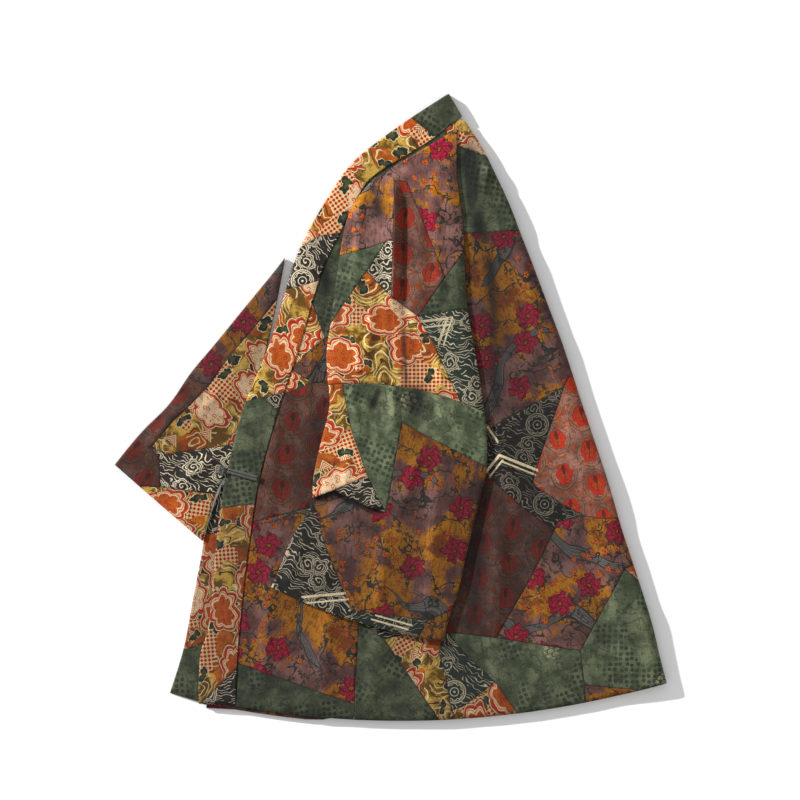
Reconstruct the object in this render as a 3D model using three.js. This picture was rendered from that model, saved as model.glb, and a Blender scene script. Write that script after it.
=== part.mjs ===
import * as THREE from 'three';

// A short haori-style yukata jacket of patchwork cotton, folded in half along its centre back
// and laid flat. Millimetres, +Z up. It lies on the plane z = 0 with its hem towards -Y,
// its centre-back fold towards +X and its front edges towards -X.
// "left" and "right" are the wearer's: the left half is on top and the right half beneath.

// Cloth, seams and layer heights
const CLOTH = 1.8;
const BAND_CLOTH = 2.7;
const SLEEVE_CLOTH = 1.5;
const SEAM_GAP = 0.3;
const LAY_GAP = 0.45;
const CORE_TOP = 6;
const BODY_UNDER = CORE_TOP + SEAM_GAP;
const BODY_TOP = BODY_UNDER + CLOTH;
const BAND_CROWN = 0.7;
const BAND_TOP = BAND_CLOTH + BAND_CROWN;

// The centre-back fold: its half-round width, and how far the cloth swells towards it
const FOLD_RADIUS = 9;
const FOLD_SWELL = 4.6;
const SWELL_REACH = 70;
const FOLD_SHARE = 0.3;
const FOLD_CLOTH_SHARE = 0.6;

// Sleeves are flattened tubes: the radius of their folded edges and the crown of their upper cloth
const EDGE_RADIUS = 2.6;
const FAR_EDGE_RADIUS = (CORE_TOP - 0.04) / 2;
const SLEEVE_CROWN = 2.4;
const FAR_CROWN = 2.2;

// How finely each piece is divided
const BODY_ROWS_COUNT = 32;
const FRONT_COLUMNS = 12;
const BACK_COLUMNS = 18;
const FOLD_STEPS = 6;
const EDGE_STEPS = 4;
const UNDER_COLUMNS = 4;
const SHOULDER_ROWS_COUNT = 16;
const SLEEVE_ROWS_COUNT = 26;
const SLEEVE_COLUMNS = 28;
const FAR_SLEEVE_ROWS_COUNT = 14;
const FAR_SLEEVE_COLUMNS = 10;
const FAR_BAND_ROWS_COUNT = 12;
const HEM_STEPS = 24;

const { lerp, smoothstep } = THREE.MathUtils;

function table(columns, rows) {
  return rows.map((row) => Object.fromEntries(columns.map((name, i) => [name, row[i]])));
}

// Sections of the left half from collar to hem: the band's outer edge, the seam between
// band and front, and the centre-back fold. "side" is where the side seam crosses the section
// and "bow" is the section's sag.
const BODY = table(
  ['bandX', 'bandY', 'seamX', 'seamY', 'foldX', 'foldY', 'side', 'bow'],
  [
    [70, 374, 86, 347, 88, 345, 0.50, 0],
    [28, 347, 58, 324, 101, 325, 0.50, 0],
    [-13, 318, 17, 298, 114, 304, 0.50, 0],
    [-47, 290, -22, 274, 125, 281, 0.50, 0],
    [-72, 253, -42, 244, 142, 245, 0.48, 0],
    [-94, 217, -60, 206, 157, 206, 0.46, 0],
    [-114, 175, -77, 173, 170, 173, 0.45, 0],
    [-130, 120, -93, 124, 188, 125, 0.43, 0],
    [-146, 68, -109, 67, 208, 72, 0.42, 0],
    [-173, 6, -127, 16, 226, 16, 0.40, 0],
    [-186, -41, -144, -41, 245, -41, 0.38, 0],
    [-198, -90, -158, -94, 262, -92, 0.35, 1],
    [-206, -146, -166, -149, 278, -148, 0.32, 3],
    [-212, -209, -174, -209, 295, -199, 0.30, 8],
    [-218, -271, -180, -270, 316, -266, 0.285, 18],
    [-227, -293, -182, -295, 322, -294, 0.28, 23],
    [-229, -356, -185, -359, 332, -331, 0.274, 30],
  ],
);

// Sections of the left shoulder and sleeve, from the neck seam to the cuff. The armhole seam
// lies on row ARMHOLE_ROW. "bow" lifts or drops the middle of the section.
const ARM = table(
  ['leftX', 'leftY', 'rightX', 'rightY', 'bow'],
  [
    [-19, 272, 80, 331, 0],
    [-30, 260, 80, 305, 0],
    [-45, 240, 80, 271, 0],
    [-54, 214, 86, 229, 0],
    [-60, 179, 89, 187, 2],
    [-65, 145, 90, 149, 4],
    [-71, 97, 94, 106, 6],
    [-76, 65, 102, 65, 9],
    [-74, 25, 113, -7, 13],
    [-72, 2, 116, -32, 10],
    [-83, -44, 116, -73, 6],
    [-92, -86, 112, -96, 2],
    [-95, -119, 104, -125, 0],
    [-114, -151, 97, -155, 0],
    [-122, -168, 90, -185, 0],
    [-132, -193, 82, -221, -3],
    [-138, -207, 73, -247, -6],
    [-142, -216, 64, -281, -9],
  ],
);
const ARMHOLE_ROW = 8;

// Sections of the right sleeve, which lies beneath and spreads to the lower left, cuff first
const FAR_ARM = table(
  ['leftX', 'leftY', 'rightX', 'rightY', 'bow'],
  [
    [-330, -70, -224, -162, 0],
    [-296, -28, -215, -129, 0],
    [-264, 2, -204, -92, 0],
    [-241, 38, -174, -52, 0],
    [-216, 67, -164, -14, 0],
    [-186, 104, -154, 27, 0],
    [-158, 138, -148, 67, 0],
    [-139, 161, -139, 106, 0],
    [-126, 178, -128, 164, 0],
  ],
);

// Sections of the right band, from where it comes out under the left one to the hem
const FAR_BAND = table(
  ['leftX', 'leftY', 'rightX', 'rightY', 'bow'],
  [
    [-202, -95, -176, -92, 0],
    [-213, -128, -179, -128, 0],
    [-223, -163, -184, -164, 0],
    [-227, -184, -187, -186, 0],
    [-238, -240, -196, -244, 0],
    [-247, -290, -206, -295, 0],
    [-264, -344, -221, -357, 0],
  ],
);

// Largest folds, as soft ridges from start to end; a height below zero is a trough.
// Body: beside the sleeve and above the hem.
const FOLD_COLUMNS = ['startX', 'startY', 'endX', 'endY', 'height', 'width'];
const BODY_FOLDS = table(FOLD_COLUMNS, [
  [112, 290, 100, 190, 1.9, 9],
  [126, 210, 122, 70, 1.3, 12],
  [150, 40, 176, -120, 1.1, 14],
  [230, -150, 262, -345, 1.5, 15],
  [150, -215, 166, -372, 1.2, 13],
  [58, -300, 54, -392, 1.3, 12],
  [-80, -255, -92, -385, 1.2, 11],
  [-140, -150, -148, -300, 1.1, 10],
]);

// Shoulder and sleeve: the pleat and the trough beside it, the gathers below the armhole
// seam, the elbow crease with the lip above it and the two small domes below it, and the
// long soft folds down to the cuff.
const ARM_FOLDS = table(FOLD_COLUMNS, [
  [4, 290, 1, 110, 3.0, 8],
  [18, 262, 18, 90, -2.6, 7],
  [38, 300, 44, 120, 1.4, 11],
  [-34, 235, -46, 80, 1.5, 9],
  [-12, 26, -30, -60, -1.9, 6],
  [6, 20, 2, -60, 1.7, 7],
  [22, 16, 44, -48, -2.0, 6],
  [40, 14, 66, -70, 1.6, 8],
  [-96, -112, -62, -94, 2.4, 8],
  [-62, -94, 2, -122, 2.6, 8],
  [-92, -124, -58, -108, -2.4, 6],
  [-58, -108, 6, -136, -2.6, 6],
  [-68, -122, -56, -122, 2.2, 7],
  [-50, -130, -38, -130, 2.0, 7],
  [74, -40, 56, -230, 1.8, 13],
  [10, -150, -14, -235, 1.2, 12],
  [-60, -150, -84, -225, 1.3, 12],
]);

const FAR_FOLDS = table(FOLD_COLUMNS, [
  [-292, -60, -232, 14, 1.6, 10],
  [-262, -84, -214, -30, -1.2, 9],
  [-226, 20, -184, 72, 1.3, 9],
]);

// Plain geometry helpers

function evenly(from, to, count) {
  return Array.from({ length: count + 1 }, (_, i) => lerp(from, to, i / count));
}

function edgeCurve(rows, xName, yName) {
  const points = rows.map((row) => new THREE.Vector3(row[xName], row[yName], 0));
  return new THREE.CatmullRomCurve3(points, false, 'centripetal');
}

function valueAt(rows, name, v) {
  const place = v * (rows.length - 1);
  const index = Math.min(Math.floor(place), rows.length - 2);
  return lerp(rows[index][name], rows[index + 1][name], place - index);
}

// The x of an edge that runs down the page, at the height y
function edgeXAt(rows, xName, yName, y) {
  let index = 0;
  while (index < rows.length - 2 && rows[index + 1][yName] > y) index += 1;
  const upper = rows[index];
  const lower = rows[index + 1];
  const share = THREE.MathUtils.clamp((upper[yName] - y) / (upper[yName] - lower[yName]), 0, 1);
  return lerp(upper[xName], lower[xName], share);
}

function foldLift(folds, x, y) {
  let lift = 0;
  for (const fold of folds) {
    const runX = fold.endX - fold.startX;
    const runY = fold.endY - fold.startY;
    const length = Math.hypot(runX, runY);
    const along = ((x - fold.startX) * runX + (y - fold.startY) * runY) / length;
    const across = ((y - fold.startY) * runX - (x - fold.startX) * runY) / length;
    const taper = Math.min(fold.width * 1.5, length / 2);
    const ends = smoothstep(along, 0, taper) * (1 - smoothstep(along, length - taper, length));
    lift += fold.height * ends * Math.exp(-((across / fold.width) ** 2));
  }
  return lift;
}

// A section runs from a left to a right edge curve, with its middle moved by the bow
function makeSections(rows) {
  const left = edgeCurve(rows, 'leftX', 'leftY');
  const right = edgeCurve(rows, 'rightX', 'rightY');
  return (v, u) => {
    const point = left.getPoint(v).lerp(right.getPoint(v), u);
    point.y += valueAt(rows, 'bow', v) * 4 * u * (1 - u);
    return point;
  };
}

// A closed cloth wall between two matching grids of points, row by row. A closed grid is
// a tube: its last column joins its first.
function clothWall(outer, inner, closed = false) {
  const rowCount = outer.length;
  const columnCount = outer[0].length;
  const positions = [...outer.flat(), ...inner.flat()].flatMap((p) => [p.x, p.y, p.z]);
  const indices = [];
  const outerAt = (row, column) => row * columnCount + (column % columnCount);
  const innerAt = (row, column) => rowCount * columnCount + outerAt(row, column);
  const quad = (a, b, c, d) => indices.push(a, b, c, a, c, d);
  const lastColumn = closed ? columnCount : columnCount - 1;
  for (let row = 0; row < rowCount - 1; row += 1) {
    for (let column = 0; column < lastColumn; column += 1) {
      const next = column + 1;
      quad(outerAt(row, column), outerAt(row + 1, column), outerAt(row + 1, next), outerAt(row, next));
      quad(innerAt(row, column), innerAt(row, next), innerAt(row + 1, next), innerAt(row + 1, column));
    }
    if (!closed) {
      const last = columnCount - 1;
      quad(outerAt(row, 0), innerAt(row, 0), innerAt(row + 1, 0), outerAt(row + 1, 0));
      quad(outerAt(row, last), outerAt(row + 1, last), innerAt(row + 1, last), innerAt(row, last));
    }
  }
  const end = rowCount - 1;
  for (let column = 0; column < lastColumn; column += 1) {
    const next = column + 1;
    quad(outerAt(0, column), outerAt(0, next), innerAt(0, next), innerAt(0, column));
    quad(outerAt(end, column), innerAt(end, column), innerAt(end, next), outerAt(end, next));
  }
  const geometry = new THREE.BufferGeometry();
  geometry.setAttribute('position', new THREE.Float32BufferAttribute(positions, 3));
  geometry.setIndex(indices);
  geometry.computeVertexNormals();
  return geometry;
}

// The left half of the body

const bandEdge = edgeCurve(BODY, 'bandX', 'bandY');
const bandSeam = edgeCurve(BODY, 'seamX', 'seamY');
const backFold = edgeCurve(BODY, 'foldX', 'foldY');
const seamXAt = (y) => edgeXAt(BODY, 'seamX', 'seamY', y);
const bandXAt = (y) => edgeXAt(BODY, 'bandX', 'bandY', y);
const foldXAt = (y) => edgeXAt(BODY, 'foldX', 'foldY', y);

function bodyPoint(v, u) {
  const point = bandSeam.getPoint(v).lerp(backFold.getPoint(v), u);
  point.y -= valueAt(BODY, 'bow', v) * 4 * u * (1 - u);
  return point;
}

// How far the left half stands above its flat lay, at any place. Beside the band it lies flat.
const FLAT_BY_BAND = { from: 2, to: 40 };

function bodyLift(x, y) {
  const fromSeam = smoothstep(x - seamXAt(y), FLAT_BY_BAND.from, FLAT_BY_BAND.to);
  const swell = FOLD_SWELL * (1 - smoothstep(foldXAt(y) - x, 0, SWELL_REACH));
  return fromSeam * (swell + foldLift(BODY_FOLDS, x, y));
}

// The sections at which band, front, back and hidden layers are all drawn, so they match
const BODY_PLACES = evenly(0.012, 1, BODY_ROWS_COUNT);

function wallPoints(point, under, thickness) {
  const inner = new THREE.Vector3(point.x, point.y, under);
  const outer = new THREE.Vector3(point.x, point.y, under + thickness);
  return { inner, outer };
}

function makeLeftFront() {
  const outer = [];
  const inner = [];
  for (const v of BODY_PLACES) {
    const width = bandSeam.getPoint(v).distanceTo(backFold.getPoint(v));
    const half = SEAM_GAP / 2 / width;
    const outerRow = [];
    const innerRow = [];
    for (let column = 0; column <= FRONT_COLUMNS; column += 1) {
      const u = lerp(half, valueAt(BODY, 'side', v) - half, column / FRONT_COLUMNS);
      const point = bodyPoint(v, u);
      const pair = wallPoints(point, BODY_UNDER + bodyLift(point.x, point.y), CLOTH);
      outerRow.push(pair.outer);
      innerRow.push(pair.inner);
    }
    outer.push(outerRow);
    inner.push(innerRow);
  }
  return clothWall(outer, inner);
}

function foldRadiusAt(v) {
  const width = bandSeam.getPoint(v).distanceTo(backFold.getPoint(v));
  return Math.min(FOLD_RADIUS, FOLD_SHARE * width);
}

// The back lies flat up to the fold, then turns round it down to the surface
function makeLeftBack() {
  const outer = [];
  const inner = [];
  for (const v of BODY_PLACES) {
    const seamPoint = bandSeam.getPoint(v);
    const foldPoint = backFold.getPoint(v);
    const width = seamPoint.distanceTo(foldPoint);
    const radius = foldRadiusAt(v);
    const start = valueAt(BODY, 'side', v) + SEAM_GAP / 2 / width;
    const end = 1 - radius / width;
    const outerRow = [];
    const innerRow = [];
    for (let column = 0; column <= BACK_COLUMNS; column += 1) {
      const point = bodyPoint(v, lerp(start, end, column / BACK_COLUMNS));
      const pair = wallPoints(point, BODY_UNDER + bodyLift(point.x, point.y), CLOTH);
      outerRow.push(pair.outer);
      innerRow.push(pair.inner);
    }
    const turnPoint = bodyPoint(v, end);
    const toFold = foldPoint.clone().sub(turnPoint).normalize();
    const halfHeight = (BODY_TOP + bodyLift(turnPoint.x, turnPoint.y)) / 2;
    const cloth = Math.min(CLOTH, radius * FOLD_CLOTH_SHARE);
    for (let step = 1; step <= FOLD_STEPS; step += 1) {
      const angle = (Math.PI * step) / FOLD_STEPS;
      const outerPoint = turnPoint.clone().addScaledVector(toFold, radius * Math.sin(angle));
      outerPoint.z = halfHeight * (1 + Math.cos(angle));
      const innerPoint = turnPoint.clone().addScaledVector(toFold, (radius - cloth) * Math.sin(angle));
      innerPoint.z = halfHeight + (halfHeight - CLOTH) * Math.cos(angle);
      outerRow.push(outerPoint);
      innerRow.push(innerPoint);
    }
    outer.push(outerRow);
    inner.push(innerRow);
  }
  return clothWall(outer, inner);
}

// The band is folded double, so its outer edge is round. At the back of the neck it turns
// down to the surface within a few millimetres.
const BAND_TURN = 0.006;
const BAND_PROFILE = table(
  ['share', 'height'],
  [
    [0.000, 1.2],
    [0.030, 2.15],
    [0.090, BAND_CLOTH],
    [0.500, BAND_TOP],
    [0.900, 2.8],
    [1.000, 2.65],
  ],
);

function makeLeftBand() {
  const outer = [];
  const inner = [];
  for (const v of [0, BAND_TURN, ...BODY_PLACES]) {
    const edge = bandEdge.getPoint(v);
    const seam = bandSeam.getPoint(v);
    const gapShare = SEAM_GAP / 2 / edge.distanceTo(seam);
    const under = v === 0 ? 0 : BODY_UNDER;
    const outerRow = [];
    const innerRow = [];
    for (const { share, height } of BAND_PROFILE) {
      const point = edge.clone().lerp(seam, share * (1 - gapShare));
      innerRow.push(new THREE.Vector3(point.x, point.y, under));
      outerRow.push(new THREE.Vector3(point.x, point.y, BODY_UNDER + height));
    }
    outer.push(outerRow);
    inner.push(innerRow);
  }
  return clothWall(outer, inner);
}

// The left shoulder and sleeve lie on the body

const armSection = makeSections(ARM);
const ARMHOLE = ARMHOLE_ROW / (ARM.length - 1);
const OFF_BAND = { from: 4, to: 16 };
const SLEEVE_EDGE = 0.1;

// The lowest height at which cloth can lie on the left half
function restHeight(x, y) {
  const onBand = 1 - smoothstep(x - seamXAt(y), OFF_BAND.from, OFF_BAND.to);
  return BODY_TOP + bodyLift(x, y) + (BAND_TOP - CLOTH) * onBand + LAY_GAP;
}

// 0 at both edges of a section and 1 between them
function edgeFade(u, reach) {
  return smoothstep(u, 0, reach) * smoothstep(1 - u, 0, reach);
}

function armLift(x, y, u) {
  const crown = SLEEVE_CROWN * Math.sqrt(Math.sin(Math.PI * THREE.MathUtils.clamp(u, 0, 1)));
  return crown + edgeFade(u, SLEEVE_EDGE) * foldLift(ARM_FOLDS, x, y);
}

// Half a seam's gap at the armhole, as a share of the arm's length on one side of it
function armholeGap(side) {
  const step = side * 0.001;
  const run = armSection(ARMHOLE, 0.5).distanceTo(armSection(ARMHOLE + step, 0.5));
  return (step * SEAM_GAP) / 2 / run;
}

// The shoulder is one cloth whose long edges come down to the body and whose height grows
// to the sleeve's at the armhole
const NECK_FULLNESS = 0.25;
const FULL_FROM = 0.35;
const SHOULDER_EDGE = 0.08;
const SHOULDER_EDGE_START = 0.01;

function makeLeftShoulder() {
  const outer = [];
  const inner = [];
  for (let row = 0; row <= SHOULDER_ROWS_COUNT; row += 1) {
    const share = row / SHOULDER_ROWS_COUNT;
    const v = share * (ARMHOLE + armholeGap(-1));
    const fullness = lerp(NECK_FULLNESS, 1, smoothstep(share, 0, FULL_FROM));
    const outerRow = [];
    const innerRow = [];
    for (let column = 0; column <= SLEEVE_COLUMNS; column += 1) {
      const u = column / SLEEVE_COLUMNS;
      const point = armSection(v, u);
      const fromLeft = smoothstep(u, -SHOULDER_EDGE_START, SHOULDER_EDGE);
      const fromRight = smoothstep(1 - u, -SHOULDER_EDGE_START, SHOULDER_EDGE);
      const edge = Math.sqrt(fromLeft * fromRight);
      const hollow = edge * (2 * EDGE_RADIUS - CLOTH) + armLift(point.x, point.y, u);
      const under = restHeight(point.x, point.y) + Math.max(0, fullness * hollow);
      const pair = wallPoints(point, under, CLOTH);
      outerRow.push(pair.outer);
      innerRow.push(pair.inner);
    }
    outer.push(outerRow);
    inner.push(innerRow);
  }
  return clothWall(outer, inner);
}

// One section of a flattened tube: round edges, a flat under cloth and a lifted upper cloth.
// It returns the outer and inner loops, seen from the far end.
function tubeSection(section, v, columns, radius, cloth, base, lift) {
  const from = section(v, 0);
  const to = section(v, 1);
  const width = from.distanceTo(to);
  const ring = [];
  for (let step = 0; step <= EDGE_STEPS; step += 1) {
    const angle = Math.PI * (1.5 - step / EDGE_STEPS);
    const s = radius + radius * Math.cos(angle);
    ring.push({ s, inset: -Math.cos(angle), level: Math.sin(angle) });
  }
  for (let column = 1; column < columns; column += 1) {
    ring.push({ s: lerp(radius, width - radius, column / columns), inset: 0, level: 1 });
  }
  for (let step = 0; step <= EDGE_STEPS; step += 1) {
    const angle = Math.PI * (0.5 - step / EDGE_STEPS);
    const s = width - radius + radius * Math.cos(angle);
    ring.push({ s, inset: -Math.cos(angle), level: Math.sin(angle) });
  }
  for (let column = 1; column < UNDER_COLUMNS; column += 1) {
    ring.push({ s: lerp(width - radius, radius, column / UNDER_COLUMNS), inset: 0, level: -1 });
  }
  const loops = { outer: [], inner: [] };
  for (const { s, inset, level } of ring) {
    const outerPoint = section(v, s / width);
    const innerPoint = section(v, (s + cloth * inset) / width);
    const ground = base(outerPoint.x, outerPoint.y);
    const raised = level > 0 ? level * lift(outerPoint.x, outerPoint.y, s / width) : 0;
    outerPoint.z = ground + radius * (1 + level) + raised;
    innerPoint.z = ground + radius + (radius - cloth) * level + raised;
    loops.outer.push(outerPoint);
    loops.inner.push(innerPoint);
  }
  return loops;
}

function makeTube(section, places, columns, radius, base, lift) {
  const outer = [];
  const inner = [];
  for (const v of places) {
    const loops = tubeSection(section, v, columns, radius, SLEEVE_CLOTH, base, lift);
    outer.push(loops.outer);
    inner.push(loops.inner);
  }
  return clothWall(outer, inner, true);
}

function makeLeftSleeve() {
  const places = evenly(ARMHOLE + armholeGap(1), 1, SLEEVE_ROWS_COUNT);
  return makeTube(armSection, places, SLEEVE_COLUMNS, EDGE_RADIUS, restHeight, armLift);
}

// The right sleeve lies on the surface and keeps low where the left band covers it
const CLEAR_OF_BAND = { from: 2, to: 24 };
const FAR_SLEEVE_EDGE = 0.15;

function makeRightSleeve() {
  const section = makeSections(FAR_ARM);
  const lift = (x, y, u) => {
    const clear = smoothstep(bandXAt(y) - x, CLEAR_OF_BAND.from, CLEAR_OF_BAND.to);
    const crown = FAR_CROWN * Math.sin(Math.PI * THREE.MathUtils.clamp(u, 0, 1));
    return clear * (crown + edgeFade(u, FAR_SLEEVE_EDGE) * foldLift(FAR_FOLDS, x, y));
  };
  const places = evenly(1, 0, FAR_SLEEVE_ROWS_COUNT);
  return makeTube(section, places, FAR_SLEEVE_COLUMNS, FAR_EDGE_RADIUS, () => 0, lift);
}

const farBandSection = makeSections(FAR_BAND);

function makeRightBand() {
  const outer = [];
  const inner = [];
  for (const v of evenly(0, 1, FAR_BAND_ROWS_COUNT)) {
    const outerRow = [];
    const innerRow = [];
    for (const { share, height } of BAND_PROFILE) {
      const pair = wallPoints(farBandSection(v, share), 0, height);
      outerRow.push(pair.outer);
      innerRow.push(pair.inner);
    }
    outer.push(outerRow);
    inner.push(innerRow);
  }
  return clothWall(outer, inner);
}

// The hidden layers: the right half of the body, folded beneath, as one solid whose edge
// is stepped like a stack of cloths. "inset" moves the outline in, "z" is its height.
const STACK = table(
  ['z', 'inset'],
  [
    [0.0, 0.6],
    [0.6, 0.0],
    [2.0, 0.0],
    [2.5, 2.0],
    [3.2, 2.0],
    [3.7, 0.6],
    [5.4, 0.6],
    [CORE_TOP, 1.4],
  ],
);
const HEM_INSET = 3.5;
const HEM_END = 0.97;
const FOLD_CLEARANCE = 1.2;
const BAND_CLEARANCE = 0.4;

// From JOIN_PLACE down the hidden layers are sewn to the right band and follow its edge.
// Above it HIDDEN_EDGE says how far they lie in from the left band's outer edge, as a share
// of the band's width, at even steps from the collar down.
const JOIN_PLACE = 0.75;
const FAR_BAND_JOIN = 1 / 3;
const HIDDEN_EDGE = table(
  ['share'],
  [
    [0.15],
    [0.12],
    [0.12],
    [0.12],
    [0.12],
    [0.12],
    [0.12],
    [0.15],
    [0.20],
    [0.50],
    [0.60],
    [0.72],
    [0.80],
  ],
);

// The hem of the right half: it peeks out below the left hem near the band and lies in elsewhere
const HEM_PEEK = 5;
const PEEK_FADE = { from: 0.18, to: 0.26 };

function hiddenHemDrop(u) {
  return lerp(HEM_PEEK, -HEM_INSET, smoothstep(u, PEEK_FADE.from, PEEK_FADE.to));
}

function hiddenOutline() {
  const places = BODY_PLACES.slice(1);
  const outline = places.filter((v) => v < JOIN_PLACE).map((v) => {
    const share = valueAt(HIDDEN_EDGE, 'share', v / JOIN_PLACE);
    return bandEdge.getPoint(v).lerp(bandSeam.getPoint(v), share);
  });
  for (const v of evenly(FAR_BAND_JOIN, 1, FAR_BAND_ROWS_COUNT * (1 - FAR_BAND_JOIN))) {
    const point = farBandSection(v, 1);
    point.x += BAND_CLEARANCE;
    outline.push(point);
  }
  outline[outline.length - 1].y -= HEM_PEEK;
  for (const u of evenly(0, HEM_END, HEM_STEPS)) {
    const point = bodyPoint(1, u);
    point.y -= hiddenHemDrop(u);
    outline.push(point);
  }
  for (const v of places.slice(0, -1).reverse()) {
    const width = bandSeam.getPoint(v).distanceTo(backFold.getPoint(v));
    outline.push(bodyPoint(v, 1 - (foldRadiusAt(v) + FOLD_CLEARANCE) / width));
  }
  return outline;
}

function insetOutline(outline, inset) {
  return outline.map((point, i) => {
    const before = outline[(i + outline.length - 1) % outline.length];
    const after = outline[(i + 1) % outline.length];
    const along = after.clone().sub(before).normalize();
    return new THREE.Vector3(point.x - along.y * inset, point.y + along.x * inset, 0);
  });
}

function makeHiddenBody() {
  const outline = hiddenOutline();
  const count = outline.length;
  const positions = [];
  const indices = [];
  for (const { z, inset } of STACK) {
    for (const point of insetOutline(outline, inset)) positions.push(point.x, point.y, z);
  }
  for (let level = 0; level < STACK.length - 1; level += 1) {
    for (let i = 0; i < count; i += 1) {
      const a = level * count + i;
      const b = level * count + ((i + 1) % count);
      indices.push(a, b, b + count, a, b + count, a + count);
    }
  }
  const flat = insetOutline(outline, STACK[0].inset).map((point) => new THREE.Vector2(point.x, point.y));
  const top = (STACK.length - 1) * count;
  for (const [a, b, c] of THREE.ShapeUtils.triangulateShape(flat, [])) {
    indices.push(a, c, b);
    indices.push(top + a, top + b, top + c);
  }
  const geometry = new THREE.BufferGeometry();
  geometry.setAttribute('position', new THREE.Float32BufferAttribute(positions, 3));
  geometry.setIndex(indices);
  geometry.computeVertexNormals();
  return geometry;
}

// The frog fastener: a strap of two cords side by side, sewn on the left band, and its knot.
// Each cord is "radius" in radius, flat beneath, and meets the other at "groove" from the top.
const FROG = { fromX: -158, fromY: -87, toX: -194.8, toY: -78.6, radius: 1.7, flat: 3.1 };
const CORD_ARC = { foot: 0.6, groove: 0.88 };
const FROG_BASE = BODY_UNDER + BAND_TOP + SEAM_GAP;
const KNOT = { x: -201.3, y: -77, z: 10.2 };
const KNOT_RADII = { x: 6.2, y: 6.8, z: 3.8 };

function makeFrogStrap() {
  const r = FROG.radius;
  const section = new THREE.Shape();
  section.moveTo(-FROG.flat, 0);
  section.lineTo(FROG.flat, 0);
  section.absarc(r, r, r, -CORD_ARC.foot, Math.PI - CORD_ARC.groove, false);
  section.absarc(-r, r, r, CORD_ARC.groove, Math.PI + CORD_ARC.foot, false);
  const run = new THREE.Vector2(FROG.toX - FROG.fromX, FROG.toY - FROG.fromY);
  const options = { depth: run.length(), steps: 6, bevelEnabled: false, curveSegments: 8 };
  const geometry = new THREE.ExtrudeGeometry(section, options);
  geometry.rotateX(Math.PI / 2);
  geometry.rotateZ(run.angle() + Math.PI / 2);
  return geometry;
}

function makeFrogKnot() {
  const geometry = new THREE.SphereGeometry(1, 16, 10);
  geometry.rotateX(Math.PI / 2);
  geometry.scale(KNOT_RADII.x, KNOT_RADII.y, KNOT_RADII.z);
  return geometry;
}

// The whole garment, with its origin at the middle of its footprint

function piece(name, geometry, color, roughness = 0.9) {
  const material = new THREE.MeshStandardMaterial({ color, roughness, metalness: 0 });
  const mesh = new THREE.Mesh(geometry, material);
  mesh.name = name;
  return mesh;
}

const garment = new THREE.Group();
garment.add(piece('hidden_body', makeHiddenBody(), 0x3f4a36));
garment.add(piece('right_band', makeRightBand(), 0x6b7a55));
garment.add(piece('right_sleeve', makeRightSleeve(), 0x9a6a4a));
garment.add(piece('left_front', makeLeftFront(), 0x7c5a52));
garment.add(piece('left_back', makeLeftBack(), 0x6a6a4c));
garment.add(piece('left_band', makeLeftBand(), 0xd8b890));
garment.add(piece('left_shoulder', makeLeftShoulder(), 0x8a5a50));
garment.add(piece('left_sleeve', makeLeftSleeve(), 0xa37c58));

const strap = piece('frog_strap', makeFrogStrap(), 0x22201f, 0.7);
strap.position.set(FROG.fromX, FROG.fromY, FROG_BASE);
const knot = piece('frog_knot', makeFrogKnot(), 0x1d1b1b, 0.6);
knot.position.set(KNOT.x, KNOT.y, KNOT.z);
garment.add(strap, knot);

const bounds = new THREE.Box3().setFromObject(garment);
const middle = bounds.getCenter(new THREE.Vector3());
garment.position.set(-middle.x, -middle.y, -bounds.min.z);

export default garment;
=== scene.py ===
import math

import bmesh
import bpy
import numpy as np
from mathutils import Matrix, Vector, kdtree, noise as soft_noise
from mathutils.bvhtree import BVHTree


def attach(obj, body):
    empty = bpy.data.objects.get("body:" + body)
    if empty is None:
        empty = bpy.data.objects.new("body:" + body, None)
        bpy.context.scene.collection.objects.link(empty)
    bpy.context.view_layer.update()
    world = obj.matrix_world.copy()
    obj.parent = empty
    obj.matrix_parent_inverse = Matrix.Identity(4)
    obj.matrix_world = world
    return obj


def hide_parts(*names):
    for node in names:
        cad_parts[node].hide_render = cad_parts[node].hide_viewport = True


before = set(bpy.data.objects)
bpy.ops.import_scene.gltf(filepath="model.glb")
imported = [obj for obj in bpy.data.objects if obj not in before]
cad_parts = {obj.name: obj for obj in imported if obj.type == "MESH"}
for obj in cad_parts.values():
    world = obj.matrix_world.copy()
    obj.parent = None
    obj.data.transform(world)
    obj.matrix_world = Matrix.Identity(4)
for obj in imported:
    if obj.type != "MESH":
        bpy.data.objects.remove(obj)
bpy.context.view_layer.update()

# The photograph's frame: the pixel over the garment's origin, and the real size of a pixel
PHOTO_MM = 1.2
ORIGIN_PX = (390.7, 407.1)
IMAGE_PX = 800
MM = 0.001
CM_IN_METRE = 100


def place(px, py):
    """A pixel of the photograph as a place on the surface, in millimetres."""
    return ((px - ORIGIN_PX[0]) * PHOTO_MM, (ORIGIN_PX[1] - py) * PHOTO_MM)


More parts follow.
